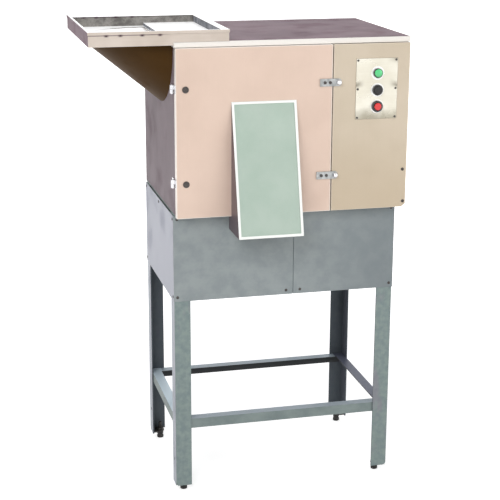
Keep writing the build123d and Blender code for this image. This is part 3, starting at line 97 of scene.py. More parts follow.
class Recipe:
    """One procedural material, put together from small steps. Its places are the object's own, in metres."""

    def __init__(self, name, metallic=0.0, specular=0.5, coat=0.0):
        self.material = bpy.data.materials.new(name)
        self.material.use_nodes = True
        self.nodes = self.material.node_tree.nodes
        self.links = self.material.node_tree.links
        self.shader = self.nodes["Principled BSDF"]
        self.shader.inputs["Metallic"].default_value = metallic
        self.shader.inputs["Specular IOR Level"].default_value = specular
        self.shader.inputs["Coat Weight"].default_value = coat
        place = self.nodes.new("ShaderNodeTexCoord")
        self.position = place.outputs["Object"]
        self.x, self.y, self.z = self.split(self.position)
        self.nx, self.ny, self.nz = self.split(place.outputs["Normal"])

    def split(self, vector):
        node = self.nodes.new("ShaderNodeSeparateXYZ")
        self.links.new(vector, node.inputs[0])
        return node.outputs[0], node.outputs[1], node.outputs[2]

    def feed(self, socket, value):
        """Links a socket, or sets it where the value is a number or a colour."""
        if isinstance(value, bpy.types.NodeSocket):
            self.links.new(value, socket)
        else:
            socket.default_value = value

    def calc(self, operation, first, second=0.0):
        node = self.nodes.new("ShaderNodeMath")
        node.operation = operation
        self.feed(node.inputs[0], first)
        self.feed(node.inputs[1], second)
        return node.outputs[0]

    def spread(self, value, low, high, to_low=0.0, to_high=1.0):
        """A value from low to high carried to another range, smoothly and without leaving it."""
        node = self.nodes.new("ShaderNodeMapRange")
        node.interpolation_type = "SMOOTHSTEP"
        self.feed(node.inputs["Value"], value)
        for name, number in (("From Min", low), ("From Max", high), ("To Min", to_low), ("To Max", to_high)):
            self.feed(node.inputs[name], number)
        return node.outputs[0]

    def noise(self, scale, detail=4.0, stretch=(1, 1, 1), shift=0.0, roughness=0.55):
        mapping = self.nodes.new("ShaderNodeMapping")
        mapping.inputs["Scale"].default_value = stretch
        mapping.inputs["Location"].default_value = (shift, shift * 1.7, shift * 0.6)
        self.links.new(self.position, mapping.inputs[0])
        node = self.nodes.new("ShaderNodeTexNoise")
        node.inputs["Scale"].default_value = scale
        node.inputs["Detail"].default_value = detail
        node.inputs["Roughness"].default_value = roughness
        self.links.new(mapping.outputs[0], node.inputs["Vector"])
        return node.outputs["Fac"]

    def mix(self, share, first, second, mode="MIX"):
        node = self.nodes.new("ShaderNodeMix")
        node.data_type = "RGBA"
        node.blend_type = mode
        self.feed(node.inputs[0], share)
        self.feed(node.inputs[6], first)
        self.feed(node.inputs[7], second)
        return node.outputs[2]

    def near(self, value, target, width):
        """One where value is at target, falling to nothing a width away."""
        distance = self.calc("ABSOLUTE", self.calc("SUBTRACT", value, target))
        return self.spread(distance, 0.0, width, 1.0, 0.0)

    def border(self, first, first_range, second, second_range, width):
        """One along the four sides of a rectangle, falling to nothing a width inside."""
        sides = []
        for value, (low, high) in ((first, first_range), (second, second_range)):
            sides.append(self.calc("SUBTRACT", value, low))
            sides.append(self.calc("SUBTRACT", high, value))
        nearest = sides[0]
        for side in sides[1:]:
            nearest = self.calc("MINIMUM", nearest, side)
        return self.spread(nearest, 0.0, width, 1.0, 0.0)

    def disc(self, centre_x, centre_z, inner, outer):
        """One inside a circle seen from the front, falling to nothing between two radii."""
        across = self.calc("SUBTRACT", self.x, centre_x)
        up = self.calc("SUBTRACT", self.z, centre_z)
        square = self.calc("ADD", self.calc("MULTIPLY", across, across), self.calc("MULTIPLY", up, up))
        return self.spread(self.calc("SQRT", square), inner, outer, 1.0, 0.0)

    def both(self, first, second):
        return self.calc("MULTIPLY", first, second)

    def either(self, first, second):
        return self.calc("MAXIMUM", first, second)

    def facing(self, component, sign, sharpness=0.3):
        """One on faces that look along an axis."""
        value = self.calc("MULTIPLY", component, sign)
        return self.spread(value, 1.0 - sharpness * 2, 1.0 - sharpness, 0.0, 1.0)

    def painted_light(self, share, strength):
        """Painted light: a white emission that lifts a part so it reads as brightly lit, though it is no lamp."""
        self.feed(self.shader.inputs["Emission Color"], (1.0, 1.0, 1.0, 1.0))
        self.feed(self.shader.inputs["Emission Strength"], self.calc("MULTIPLY", share, strength))

    def finish(self, colour, roughness, height=None, strength=0.2, distance=0.0004, soften=0.0007):
        self.feed(self.shader.inputs["Base Color"], colour)
        self.feed(self.shader.inputs["Roughness"], roughness)
        normal = None
        if soften:
            bevel = self.nodes.new("ShaderNodeBevel")
            bevel.samples = 4
            bevel.inputs["Radius"].default_value = soften
            normal = bevel.outputs[0]
        if height is not None:
            bump = self.nodes.new("ShaderNodeBump")
            bump.inputs["Strength"].default_value = strength
            bump.inputs["Distance"].default_value = distance
            self.links.new(height, bump.inputs["Height"])
            if normal is not None:
                self.links.new(normal, bump.inputs["Normal"])
            normal = bump.outputs[0]
        if normal is not None:
            self.links.new(normal, self.shader.inputs["Normal"])
        return self.material


# Grain directions: a small number along the way the grain runs
GRAIN_ALONG_Z = (900, 900, 7)
GRAIN_ALONG_X = (7, 900, 900)
GRAIN_ALONG_Y = (900, 7, 900)


def sheet_look(recipe, light, dark, grain, cloud_scale=5.0, grain_share=0.25, cloud_share=0.8):
    """Sheet steel: slow clouds in its tone, a fine directional grain, a few scratches and finger smudges."""
    cloud = recipe.noise(cloud_scale, 5, shift=1.3)
    fine = recipe.noise(1.0, 3, stretch=grain, shift=2.1)
    speckle = recipe.noise(420, 2, shift=4.4)
    share = recipe.calc("ADD", recipe.calc("MULTIPLY", recipe.spread(cloud, 0.3, 0.7), cloud_share),
                        recipe.calc("MULTIPLY", recipe.calc("SUBTRACT", fine, 0.5), grain_share * 2))
    share = recipe.calc("ADD", share, recipe.calc("MULTIPLY", recipe.calc("SUBTRACT", speckle, 0.5), 0.3))
    colour = recipe.mix(share, light, dark)
    scratch = recipe.noise(1.0, 2, stretch=[v * 0.35 for v in grain], shift=7.7)
    scratch = recipe.spread(scratch, 0.72, 0.78)
    smudge = recipe.spread(recipe.noise(11, 4, shift=9.1), 0.45, 0.75)
    height = recipe.calc("ADD", fine, recipe.calc("MULTIPLY", scratch, -1.5))
    height = recipe.calc("ADD", height, recipe.calc("MULTIPLY", speckle, 0.5))
    return colour, smudge, scratch, height


def panel_steel(name, light, dark, grain=GRAIN_ALONG_Z, metallic=0.25, rough=0.42, edges=None,
                edge_highlight_tone=(255, 250, 244), edge_width=2.2 * MM, cloud=5.0):
    """A sheet panel. Its cut edges and folds get a painted highlight, where edges gives the panel's rectangle."""
    recipe = Recipe(name, metallic=metallic, specular=0.3)
    colour, smudge, scratch, height = sheet_look(recipe, light, dark, grain, cloud_scale=cloud)
    if edges:
        # Painted highlight: a near-white band along the panel's edges.
        rim = recipe.border(*edges(recipe), edge_width)
        colour = recipe.mix(recipe.calc("MULTIPLY", rim, 0.8), colour, tone(*edge_highlight_tone))
    rough_value = recipe.spread(smudge, 0.0, 1.0, rough, rough + 0.14)
    return recipe.finish(colour, rough_value, height, strength=0.12)


def xz_edges(box):
    low, high = box
    return lambda r: (r.x, (low.x, high.x), r.z, (low.z, high.z))


def yz_edges(box):
    low, high = box
    return lambda r: (r.y, (low.y, high.y), r.z, (low.z, high.z))


def cabinet_paint():
    # The door's edges get panel_steel's painted highlight.
    return panel_steel("cabinet_paint", tone(226, 202, 186), tone(216, 192, 176), edges=xz_edges(DOOR))


def panel_paint():
    """The drive panel: warmer and darker towards its bottom."""
    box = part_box("drive_panel")
    recipe = Recipe("panel_paint", metallic=0.25)
    colour, smudge, scratch, height = sheet_look(recipe, tone(208, 194, 174), tone(196, 182, 160), GRAIN_ALONG_Z)
    low = recipe.spread(recipe.z, box[0].z, box[0].z + 0.30, 1.0, 0.0)
    colour = recipe.mix(recipe.calc("MULTIPLY", low, 0.6), colour, tone(190, 172, 146))
    # Painted highlight: a paler band along the panel's edges.
    rim = recipe.border(recipe.x, (box[0].x, box[1].x), recipe.z, (box[0].z, box[1].z), 1.6 * MM)
    colour = recipe.mix(recipe.calc("MULTIPLY", rim, 0.6), colour, tone(240, 232, 220))
    return recipe.finish(colour, recipe.spread(smudge, 0, 1, 0.42, 0.56), height, strength=0.12)


def wall_paint():
    """The side and rear walls: grey with a little violet."""
    recipe = Recipe("wall_paint", specular=0.15)
    colour, smudge, scratch, height = sheet_look(recipe, tone(140, 126, 132), tone(122, 108, 114), GRAIN_ALONG_Z,
                                                 grain_share=0.45)
    return recipe.finish(colour, recipe.spread(smudge, 0, 1, 0.55, 0.7), height, strength=0.15)


def lid_paint():
    """The lid: a dark satin top, with a painted highlight on its folded lip and along its edges."""
    low, high = LID
    recipe = Recipe("lid_paint", specular=0.06)
    colour, smudge, scratch, height = sheet_look(recipe, tone(136, 112, 122), tone(108, 84, 95), GRAIN_ALONG_X)
    # Painted highlight: faces that don't look up, and a 3 mm band along the edges, are painted near white.
    top = recipe.facing(recipe.nz, 1.0)
    lip = recipe.calc("SUBTRACT", 1.0, top)
    rim = recipe.border(recipe.x, (low.x, high.x), recipe.y, (low.y, high.y), 3 * MM)
    bright = recipe.either(lip, rim)
    colour = recipe.mix(bright, colour, tone(252, 248, 242))
    return recipe.finish(colour, recipe.spread(smudge, 0, 1, 0.55, 0.7), height, strength=0.12)


def hood_steel():
    """The outlet hood: a pale green face inside a painted highlight on its rim, painted shade on its sides, and a
    greyer painted shade on faces that look back.
    """
    low, high = HOOD
    recipe = Recipe("hood_steel", metallic=0.25)
    colour, smudge, scratch, height = sheet_look(recipe, tone(182, 198, 186), tone(168, 188, 174), GRAIN_ALONG_Z,
                                                 cloud_scale=8, grain_share=0.3)
    front = recipe.facing(recipe.ny, -1.0, 0.2)
    # Painted highlight: a near-white band along the rim of the front face.
    rim = recipe.border(recipe.x, (low.x, high.x), recipe.z, (low.z, high.z), 8 * MM)
    rim = recipe.spread(rim, 0.02, 0.12)
    colour = recipe.mix(recipe.both(rim, front), colour, tone(250, 252, 248))
    # Painted shade: dark on faces that look sideways.
    side = recipe.spread(recipe.calc("ABSOLUTE", recipe.nx), 0.6, 0.9)
    colour = recipe.mix(side, colour, tone(104, 90, 96))
    # Painted shade: greyer on faces that look back.
    back = recipe.facing(recipe.ny, 1.0, 0.2)
    colour = recipe.mix(back, colour, tone(150, 154, 150))
    return recipe.finish(colour, recipe.spread(smudge, 0, 1, 0.4, 0.55), height, strength=0.12)


def hopper_steel():
    """The tray: warm outside and mottled grey walls inside, with painted light and shade: a floor and rolled rim
    painted near white and lifted by a painted white emission, painted shadow under the rim, painted shade in the rear
    right corner, on the left face and on faces that look down, a bluer painted tint on inner faces that look left, and
    dark blots below the front rim.
    """
    low, high = TRAY
    recipe = Recipe("hopper_steel", specular=0.15)
    colour, smudge, scratch, height = sheet_look(recipe, tone(226, 213, 202), tone(210, 197, 184), GRAIN_ALONG_X,
                                                 cloud_scale=9)
    sheet_edge = 2.9 * MM
    step = 0.3 * MM
    inside_x = recipe.both(recipe.spread(recipe.x, low.x + sheet_edge - step, low.x + sheet_edge),
                           recipe.spread(recipe.x, high.x - sheet_edge, high.x - sheet_edge + step, 1.0, 0.0))
    inside_y = recipe.both(recipe.spread(recipe.y, low.y + sheet_edge - step, low.y + sheet_edge),
                           recipe.spread(recipe.y, high.y - sheet_edge, high.y - sheet_edge + step, 1.0, 0.0))
    inside = recipe.both(inside_x, inside_y)
    mottle = recipe.spread(recipe.noise(34, 6, shift=3.0, roughness=0.7), 0.35, 0.65)
    inner = recipe.mix(mottle, tone(150, 147, 142), tone(104, 101, 98))
    # Painted light: a bluer tint on inner faces that look left.
    painted_left_facing_tint = recipe.mix(mottle, tone(150, 151, 158), tone(104, 106, 112))
    inner = recipe.mix(recipe.facing(recipe.nx, -1.0), inner, painted_left_facing_tint)
    colour = recipe.mix(inside, colour, inner)
    # Painted highlight: the floor and the rim band are painted near white.
    up = recipe.facing(recipe.nz, 1.0)
    below_rim = recipe.spread(recipe.z, high.z - 20 * MM, high.z - 16 * MM, 1.0, 0.0)
    floor = recipe.both(up, below_rim)
    colour = recipe.mix(floor, colour, tone(252, 252, 252))
    band = recipe.spread(recipe.z, high.z - 8.2 * MM, high.z - 7.9 * MM)
    rim = recipe.either(recipe.both(up, band), recipe.both(inside, band))
    colour = recipe.mix(rim, colour, tone(253, 253, 253))
    # Painted shadow: a dark band just below the rim, inside the tray.
    painted_shadow_under_rim = recipe.both(inside, recipe.near(recipe.z, high.z - 9.6 * MM, 1.6 * MM))
    colour = recipe.mix(recipe.calc("MULTIPLY", painted_shadow_under_rim, 0.85), colour, tone(46, 42, 42))
    # Painted shade: dark in the rear right corner inside the tray.
    corner = recipe.both(recipe.near(recipe.y, high.y, 14 * MM), recipe.near(recipe.x, high.x, 7 * MM))
    colour = recipe.mix(recipe.both(corner, inside), colour, tone(30, 28, 30))
    # Painted shade: purple-grey on the outer left face.
    left = recipe.both(recipe.facing(recipe.nx, -1.0), recipe.spread(recipe.x, low.x + 2 * MM, low.x + 2.6 * MM, 1, 0))
    colour = recipe.mix(left, colour, tone(122, 98, 108))
    # Painted shade: darker on faces that look down.
    under = recipe.facing(recipe.nz, -1.0)
    colour = recipe.mix(recipe.calc("MULTIPLY", under, 0.8), colour, tone(92, 84, 78))
    front = recipe.facing(recipe.ny, -1.0)
    # Painted shadow: a dark band below the front rim, over the left half.
    painted_shadow_line = recipe.both(recipe.near(recipe.z, high.z - 9 * MM, 2 * MM), recipe.both(front, left_part(recipe, low, high)))
    colour = recipe.mix(recipe.calc("MULTIPLY", painted_shadow_line, 0.75), colour, tone(84, 52, 76))
    # Dark blots below the front rim.
    for share in DARK_BLOT_SHARES:
        place = low.x + share * (high.x - low.x)
        blot = recipe.both(recipe.near(recipe.x, place, 9 * MM), recipe.near(recipe.z, high.z - 10 * MM, 5 * MM))
        colour = recipe.mix(recipe.both(blot, front), colour, tone(58, 26, 48))
    # Painted light: a white emission on the floor and the rim.
    recipe.painted_light(recipe.either(floor, rim), 0.34)
    return recipe.finish(colour, recipe.spread(smudge, 0, 1, 0.5, 0.66), height, strength=0.14)


# Where the dark blots sit along the tray's front, as shares of its length
DARK_BLOT_SHARES = (0.13, 0.228, 0.38, 0.505)


def left_part(recipe, low, high):
    """One over the left half of a box, falling to nothing past its middle."""
    return recipe.spread(recipe.x, low.x + 0.45 * (high.x - low.x), low.x + 0.6 * (high.x - low.x), 1.0, 0.0)


def trough_steel():
    """The trough: dark brown outside, with painted light on faces that look up: painted near white and lifted by a
    painted white emission.
    """
    recipe = Recipe("trough_steel", specular=0.08)
    colour, smudge, scratch, height = sheet_look(recipe, tone(80, 56, 26), tone(66, 44, 18), GRAIN_ALONG_Z,
                                                 cloud_scale=7, cloud_share=0.5)
    # Painted light: faces that look up are painted near white.
    up = recipe.spread(recipe.nz, 0.02, 0.12)
    colour = recipe.mix(up, colour, tone(250, 250, 250))
    recipe.painted_light(up, 0.4)
    return recipe.finish(colour, recipe.spread(smudge, 0, 1, 0.6, 0.75), height, strength=0.12)


def skirt_steel():
    """The stand's skirts: blue-grey in front and darker towards the right, with a paler, more violet painted light on
    faces that look left.
    """
    recipe = Recipe("skirt_steel", metallic=0.1, specular=0.2)
    colour, smudge, scratch, height = sheet_look(recipe, tone(156, 163, 164), tone(142, 150, 152), GRAIN_ALONG_X,
                                                 cloud_scale=26, cloud_share=0.9)
    # Darker towards the right.
    right = recipe.spread(recipe.x, STAND_MIDDLE.x, STAND_HIGH.x)
    colour = recipe.mix(recipe.calc("MULTIPLY", right, 0.55), colour, tone(118, 126, 130))
    # Painted light: paler and more violet on faces that look left.
    left = recipe.facing(recipe.nx, -1.0)
    colour = recipe.mix(recipe.calc("MULTIPLY", left, 0.9), colour, tone(170, 172, 186))
    return recipe.finish(colour, recipe.spread(smudge, 0, 1, 0.4, 0.55), height, strength=0.14)


def inner_shade_share(recipe):
    """One on upright faces that look towards the middle of the stand, where painted shade goes."""
    towards_x = recipe.calc("SUBTRACT", STAND_MIDDLE.x, recipe.x)
    towards_y = recipe.calc("SUBTRACT", STAND_MIDDLE.y, recipe.y)
    along = recipe.calc("ADD", recipe.calc("MULTIPLY", recipe.nx, towards_x),
                        recipe.calc("MULTIPLY", recipe.ny, towards_y))
    return recipe.spread(along, 0.0, 0.05)


def leg_steel():
    """The legs: grey-green angle steel with a rolled skin, with painted light on faces that look left and painted shade
    on the inner faces.
    """
    recipe = Recipe("leg_steel", metallic=0.1, specular=0.2)
    colour, smudge, scratch, height = sheet_look(recipe, tone(142, 156, 152), tone(122, 136, 138), GRAIN_ALONG_Z,
                                                 cloud_scale=60)
    patch = recipe.spread(recipe.noise(30, 3, stretch=(1, 1, 0.3), shift=6.0), 0.55, 0.7)
    colour = recipe.mix(recipe.calc("MULTIPLY", patch, 0.5), colour, tone(142, 132, 146))
    # Painted light: paler on faces that look left.
    left = recipe.facing(recipe.nx, -1.0)
    colour = recipe.mix(left, colour, tone(176, 180, 190))
    # Painted shade: dark on faces that look inwards.
    colour = recipe.mix(recipe.calc("MULTIPLY", inner_shade_share(recipe), 0.85), colour, tone(62, 66, 76))
    return recipe.finish(colour, recipe.spread(smudge, 0, 1, 0.42, 0.58), height, strength=0.25)


def frame_steel():
    """Rails and frames: grey-green outside, with painted light on top flanges (pale blue, near white on the left rail
    and darker on the right rail) and painted shade on faces that look inwards.
    """
    recipe = Recipe("frame_steel", metallic=0.1, specular=0.15)
    colour, smudge, scratch, height = sheet_look(recipe, tone(140, 152, 150), tone(118, 130, 130), GRAIN_ALONG_X,
                                                 cloud_scale=14)
    # Painted light: pale blue on faces that look up.
    up = recipe.facing(recipe.nz, 1.0)
    colour = recipe.mix(recipe.calc("MULTIPLY", up, 0.9), colour, tone(158, 170, 180))
    # Painted highlight: near white on the left rail's top flange.
    left = recipe.spread(recipe.x, STAND_LOW.x + 34 * MM, STAND_LOW.x + 36 * MM, 1.0, 0.0)
    colour = recipe.mix(recipe.both(up, left), colour, tone(206, 222, 232))
    # Painted shade: darker on the right rail's top flange.
    right = recipe.spread(recipe.x, STAND_HIGH.x - 36 * MM, STAND_HIGH.x - 34 * MM)
    colour = recipe.mix(recipe.both(up, right), colour, tone(98, 102, 118))
    # Painted shade: dark on faces that look inwards.
    colour = recipe.mix(recipe.calc("MULTIPLY", inner_shade_share(recipe), 0.9), colour, tone(40, 38, 42))
    return recipe.finish(colour, recipe.spread(smudge, 0, 1, 0.42, 0.58), height, strength=0.25)


def stainless():
    """Bare stainless sheet and castings."""
    recipe = Recipe("stainless", metallic=0.75)
    colour, smudge, scratch, height = sheet_look(recipe, tone(206, 206, 202), tone(176, 176, 172), GRAIN_ALONG_Y)
    return recipe.finish(colour, recipe.spread(smudge, 0, 1, 0.28, 0.42), height, strength=0.15)


def control_sheet():
    """The control plate: bright brushed stainless with dark handling marks and pale rings round the controls."""
    low, high = PLATE
    recipe = Recipe("control_sheet", metallic=0.35)
    colour, smudge, scratch, height = sheet_look(recipe, tone(240, 236, 222), tone(222, 216, 198), GRAIN_ALONG_X,
                                                 cloud_scale=12, grain_share=0.4)
    width = high.x - low.x
    tall = high.z - low.z
    wave = recipe.calc("MULTIPLY", recipe.calc("SUBTRACT", recipe.noise(18, 3, shift=8.3), 0.5), 0.05)
    level = recipe.calc("ADD", recipe.z, wave)
    foot = recipe.spread(level, low.z, low.z + tall * 0.2, 1.0, 0.0)
    colour = recipe.mix(recipe.calc("MULTIPLY", foot, 0.75), colour, tone(138, 130, 108))
    waist = recipe.near(level, low.z + tall * 0.56, tall * 0.1)
    for side in (low.x, high.x):
        close = recipe.near(recipe.x, side, width * 0.24)
        colour = recipe.mix(recipe.calc("MULTIPLY", recipe.both(waist, close), 0.75), colour, tone(120, 112, 96))
    corner = recipe.both(recipe.near(recipe.x, high.x, width * 0.3), recipe.near(recipe.z, high.z, tall * 0.12))
    colour = recipe.mix(recipe.calc("MULTIPLY", corner, 0.6), colour, tone(134, 122, 94))
    for centre_x, centre_z in control_centres():
        ring = recipe.disc(centre_x, centre_z, 17.5 * MM, 19 * MM)
        colour = recipe.mix(ring, colour, tone(252, 252, 250))
    rim = recipe.border(recipe.x, (low.x, high.x), recipe.z, (low.z, high.z), 1.2 * MM)
    colour = recipe.mix(recipe.calc("MULTIPLY", rim, 0.5), colour, tone(120, 112, 100))
    return recipe.finish(colour, recipe.spread(smudge, 0, 1, 0.26, 0.4), height, strength=0.15)


def control_centres():
    """The middles of the lamp and the two buttons, as x and z."""
    centres = []
    for node in ("lamp_lens", "start_button", "stop_button"):
        low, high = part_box(node)
        centres.append(((low.x + high.x) / 2, (low.z + high.z) / 2))
    return centres


def screw_steel():
    recipe = Recipe("screw_steel", metallic=0.7)
    wear = recipe.noise(700, 3)
    colour = recipe.mix(wear, tone(96, 92, 90), tone(58, 54, 52))
    return recipe.finish(colour, recipe.spread(wear, 0, 1, 0.3, 0.5), wear, strength=0.1, soften=0.0002)


def bright_steel():
    recipe = Recipe("bright_steel", metallic=0.9)
    wear = recipe.noise(500, 3)
    colour = recipe.mix(wear, tone(226, 226, 228), tone(190, 190, 194))
    return recipe.finish(colour, recipe.spread(wear, 0, 1, 0.14, 0.28), wear, strength=0.05, soften=0.0003)


def strap_steel():
    """The latch straps: worn grey plate."""
    recipe = Recipe("strap_steel", metallic=0.3)
    colour, smudge, scratch, height = sheet_look(recipe, tone(196, 198, 198), tone(140, 144, 144), GRAIN_ALONG_X,
                                                 cloud_scale=90)
    return recipe.finish(colour, recipe.spread(smudge, 0, 1, 0.3, 0.45), height, strength=0.15)


def foot_steel():
    recipe = Recipe("foot_steel", metallic=0.5)
    wear = recipe.noise(160, 4)
    colour = recipe.mix(recipe.spread(wear, 0.35, 0.7), tone(30, 29, 28), tone(70, 68, 66))
    return recipe.finish(colour, recipe.spread(wear, 0, 1, 0.45, 0.7), wear, strength=0.2)


def cast_iron():
    recipe = Recipe("cast_iron", metallic=0.4)
    grit = recipe.noise(900, 4)
    patch = recipe.noise(20, 4, shift=3)
    colour = recipe.mix(recipe.spread(patch, 0.35, 0.65), tone(92, 96, 98), tone(70, 73, 76))
    return recipe.finish(colour, recipe.spread(grit, 0, 1, 0.5, 0.75), grit, strength=0.5)


def gear_steel():
    recipe = Recipe("gear_steel", metallic=0.8)
    oil = recipe.noise(26, 4)
    turned = recipe.noise(1.0, 2, stretch=(1200, 30, 30))
    colour = recipe.mix(recipe.spread(oil, 0.4, 0.7), tone(150, 150, 154), tone(84, 78, 68))
    return recipe.finish(colour, recipe.spread(oil, 0, 1, 0.22, 0.45), turned, strength=0.15)


def belt_rubber():
    recipe = Recipe("belt_rubber")
    weave = recipe.noise(1400, 2)
    dust = recipe.noise(30, 4)
    colour = recipe.mix(recipe.spread(dust, 0.45, 0.75), tone(28, 28, 29), tone(58, 57, 55))
    return recipe.finish(colour, recipe.spread(weave, 0, 1, 0.6, 0.85), weave, strength=0.4)


def motor_paint():
    recipe = Recipe("motor_paint", coat=0.2)
    orange = recipe.noise(600, 2)
    dust = recipe.noise(22, 4)
    colour = recipe.mix(recipe.spread(dust, 0.4, 0.7), tone(66, 88, 104), tone(84, 100, 110))
    return recipe.finish(colour, recipe.spread(dust, 0, 1, 0.3, 0.5), orange, strength=0.12)


def plastic(name, light, dark, rough, coat=0.0):
    recipe = Recipe(name, coat=coat)
    grain = recipe.noise(1100, 2)
    wear = recipe.noise(120, 3)
    colour = recipe.mix(recipe.spread(wear, 0.35, 0.7), light, dark)
    return recipe.finish(colour, recipe.spread(grain, 0, 1, rough, rough + 0.1), grain, strength=0.08, soften=0.0003)


def lamp_plastic(name, centre, edge):
    """A lens or cap with a painted highlight: brighter on faces that look up and to the front."""
    recipe = Recipe(name, coat=0.6)
    grain = recipe.noise(800, 2)
    # Painted highlight: the centre tone on faces that look up and to the front, the edge tone elsewhere.
    painted_light = recipe.spread(recipe.calc("ADD", recipe.nz, recipe.calc("MULTIPLY", recipe.ny, -1.2)), 0.2, 1.4)
    colour = recipe.mix(painted_light, edge, centre)
    return recipe.finish(colour, recipe.spread(grain, 0, 1, 0.12, 0.2), grain, strength=0.03, soften=0.0003)


MATERIALS = {
    "cabinet_paint": cabinet_paint(),
    "panel_paint": panel_paint(),
    "wall_paint": wall_paint(),
    "lid_paint": lid_paint(),
    "hood_steel": hood_steel(),
    "hopper_steel": hopper_steel(),
    "trough_steel": trough_steel(),
    "skirt_steel": skirt_steel(),
    "leg_steel": leg_steel(),
    "frame_steel": frame_steel(),
    "stainless": stainless(),
    "screw_steel": screw_steel(),
    "chrome": bright_steel(),
    "foot_steel": foot_steel(),
    "cast_iron": cast_iron(),
    "gear_steel": gear_steel(),
    "belt_rubber": belt_rubber(),
    "motor_paint": motor_paint(),
    "black_plastic": plastic("black_plastic", tone(14, 13, 14), tone(26, 25, 26), 0.3),
    "bezel_plastic": plastic("bezel_plastic", tone(26, 22, 24), tone(44, 38, 40), 0.2, coat=0.4),
    "green_lens": lamp_plastic("green_lens", tone(86, 226, 140), tone(8, 104, 52)),
    "red_cap": lamp_plastic("red_cap", tone(240, 24, 30), tone(140, 6, 14)),
}
NODE_MATERIALS = {
    "control_plate": control_sheet(),
    "latch_straps": strap_steel(),
}


def dress_nodes():
    """Gives every node its material: its own where it has one, and otherwise its record slot's."""
    slots = {s["node"]: s["material_slot"] for s in frame["record"]["subparts"]}
    for name, obj in frame["nodes"].items():
        material = NODE_MATERIALS.get(name) or MATERIALS[slots[name]]
        obj.data.materials.clear()
        obj.data.materials.append(material)


def islands(node):
    """The separate lumps of a node's mesh, each as a list of its corners."""
    mesh = frame["nodes"][node].data
    owner = list(range(len(mesh.vertices)))

    def root(i):
        while owner[i] != i:
            owner[i] = owner[owner[i]]
            i = owner[i]
        return i

    by_place = {}
    for vertex in mesh.vertices:
        key = tuple(round(c, 6) for c in vertex.co)
        other = by_place.setdefault(key, vertex.index)
        owner[root(vertex.index)] = root(other)
    for edge in mesh.edges:
        owner[root(edge.vertices[0])] = root(edge.vertices[1])
    lumps = {}
    for vertex in mesh.vertices:
        lumps.setdefault(root(vertex.index), []).append(vertex.co.copy())
    return list(lumps.values())


def fasteners(node):
    """Each screw of a node: the middle of its head's outer face, the way it faces, its radius and head height."""
    found = []
    for lump in islands(node):
        low = Vector([min(v[k] for v in lump) for k in range(3)])
        high = Vector([max(v[k] for v in lump) for k in range(3)])
        size = high - low
        along = min(range(3), key=lambda k: abs(size[(k + 1) % 3] - size[(k + 2) % 3]))
        across = (along + 1) % 3
        ends = []
        for end, sign in ((low[along], -1), (high[along], 1)):
            near = [v[across] for v in lump if abs(v[along] - end) < 0.1 * MM]
            ends.append((max(near) - min(near), sign, end))
        _, sign, end = max(ends)
        levels = sorted({round(abs(v[along] - end), 5) for v in lump})
        wide = [lv for lv in levels if 0.1 * MM < lv]
        centre = (low + high) / 2
        centre[along] = end
        outward = Vector((0, 0, 0))
        outward[along] = sign
        found.append((centre, outward, size[across] / 2, wide[0]))
    return found


def revolved(name, profile, segments=40):
    """A mesh turned about Z from a list of (radius, height) points."""
    mesh = bmesh.new()
    rings = []
    for radius, height in profile:
        ring = []
        for i in range(segments):
            angle = 2 * math.pi * i / segments
            ring.append(mesh.verts.new((radius * math.cos(angle), radius * math.sin(angle), height)))
        rings.append(ring)
    for lower, upper in zip(rings, rings[1:]):
        for i in range(segments):
            j = (i + 1) % segments
            mesh.faces.new((lower[i], lower[j], upper[j], upper[i]))
    mesh.faces.new(list(reversed(rings[0])))
    mesh.faces.new(rings[-1])
    data = bpy.data.meshes.new(name)
    mesh.to_mesh(data)
    mesh.free()
    for polygon in data.polygons:
        polygon.use_smooth = True
    return data


def cut_cross(data, reach, width, depth, top):
    """Cuts a cross recess into the top of a screw head."""
    head = bpy.data.objects.new("head", data)
    bpy.context.scene.collection.objects.link(head)
    cutters = []
    for turn in (0, math.pi / 2):
        block = bmesh.new()
        bmesh.ops.create_cube(block, size=1.0)
        bmesh.ops.scale(block, vec=(reach * 2, width, depth * 2), verts=block.verts)
        bmesh.ops.rotate(block, matrix=Matrix.Rotation(turn, 3, "Z"), verts=block.verts)
        bmesh.ops.translate(block, vec=(0, 0, top), verts=block.verts)
        tool_data = bpy.data.meshes.new("cutter")
        block.to_mesh(tool_data)
        block.free()
        tool = bpy.data.objects.new("cutter", tool_data)
        bpy.context.scene.collection.objects.link(tool)
        cutters.append(tool)
        cut = head.modifiers.new("cut", "BOOLEAN")
        cut.object = tool
        cut.solver = "EXACT"
    graph = bpy.context.evaluated_depsgraph_get()
    result = bpy.data.meshes.new_from_object(head.evaluated_get(graph))
    for obj in [head] + cutters:
        bpy.data.objects.remove(obj)
    return result


def pan_head(radius, height):
    """A domed screw head with a cross recess, its seat at z = 0."""
    dome = [(radius, 0.0), (radius, height * 0.35)]
    steps = 6
    for i in range(1, steps):
        angle = math.pi / 2 * i / steps
        dome.append((radius * math.cos(angle) * 0.94 + radius * 0.06 * (1 - i / steps),
                     height * (0.35 + 0.65 * math.sin(angle))))
    dome.append((radius * 0.12, height))
    data = revolved("pan_head", dome)
    return cut_cross(data, radius * 0.55, radius * 0.22, height * 0.55, height)


def place_on(obj, point, outward):
    """Stands an object made along +Z on a point, facing outward."""
    obj.matrix_world = Matrix.Translation(point) @ outward.to_track_quat("Z", "Y").to_matrix().to_4x4()


def dress_screws(node, body, slot):
    """Stands a detailed head over each plain screw of a node."""
    heads = {}
    for i, (top, outward, radius, height) in enumerate(fasteners(node)):
        key = (round(radius, 5), round(height, 5))
        if key not in heads:
            heads[key] = pan_head(radius, height)
            heads[key].materials.clear()
            heads[key].materials.append(MATERIALS[slot])
        head = bpy.data.objects.new(f"{node}_head_{i:02d}", heads[key])
        bpy.context.scene.collection.objects.link(head)
        place_on(head, top - outward * height, outward)
        head.rotation_euler.rotate_axis("Z", 0.7 * i)
        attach(head, body)
        if i == 0:
            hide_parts(node)


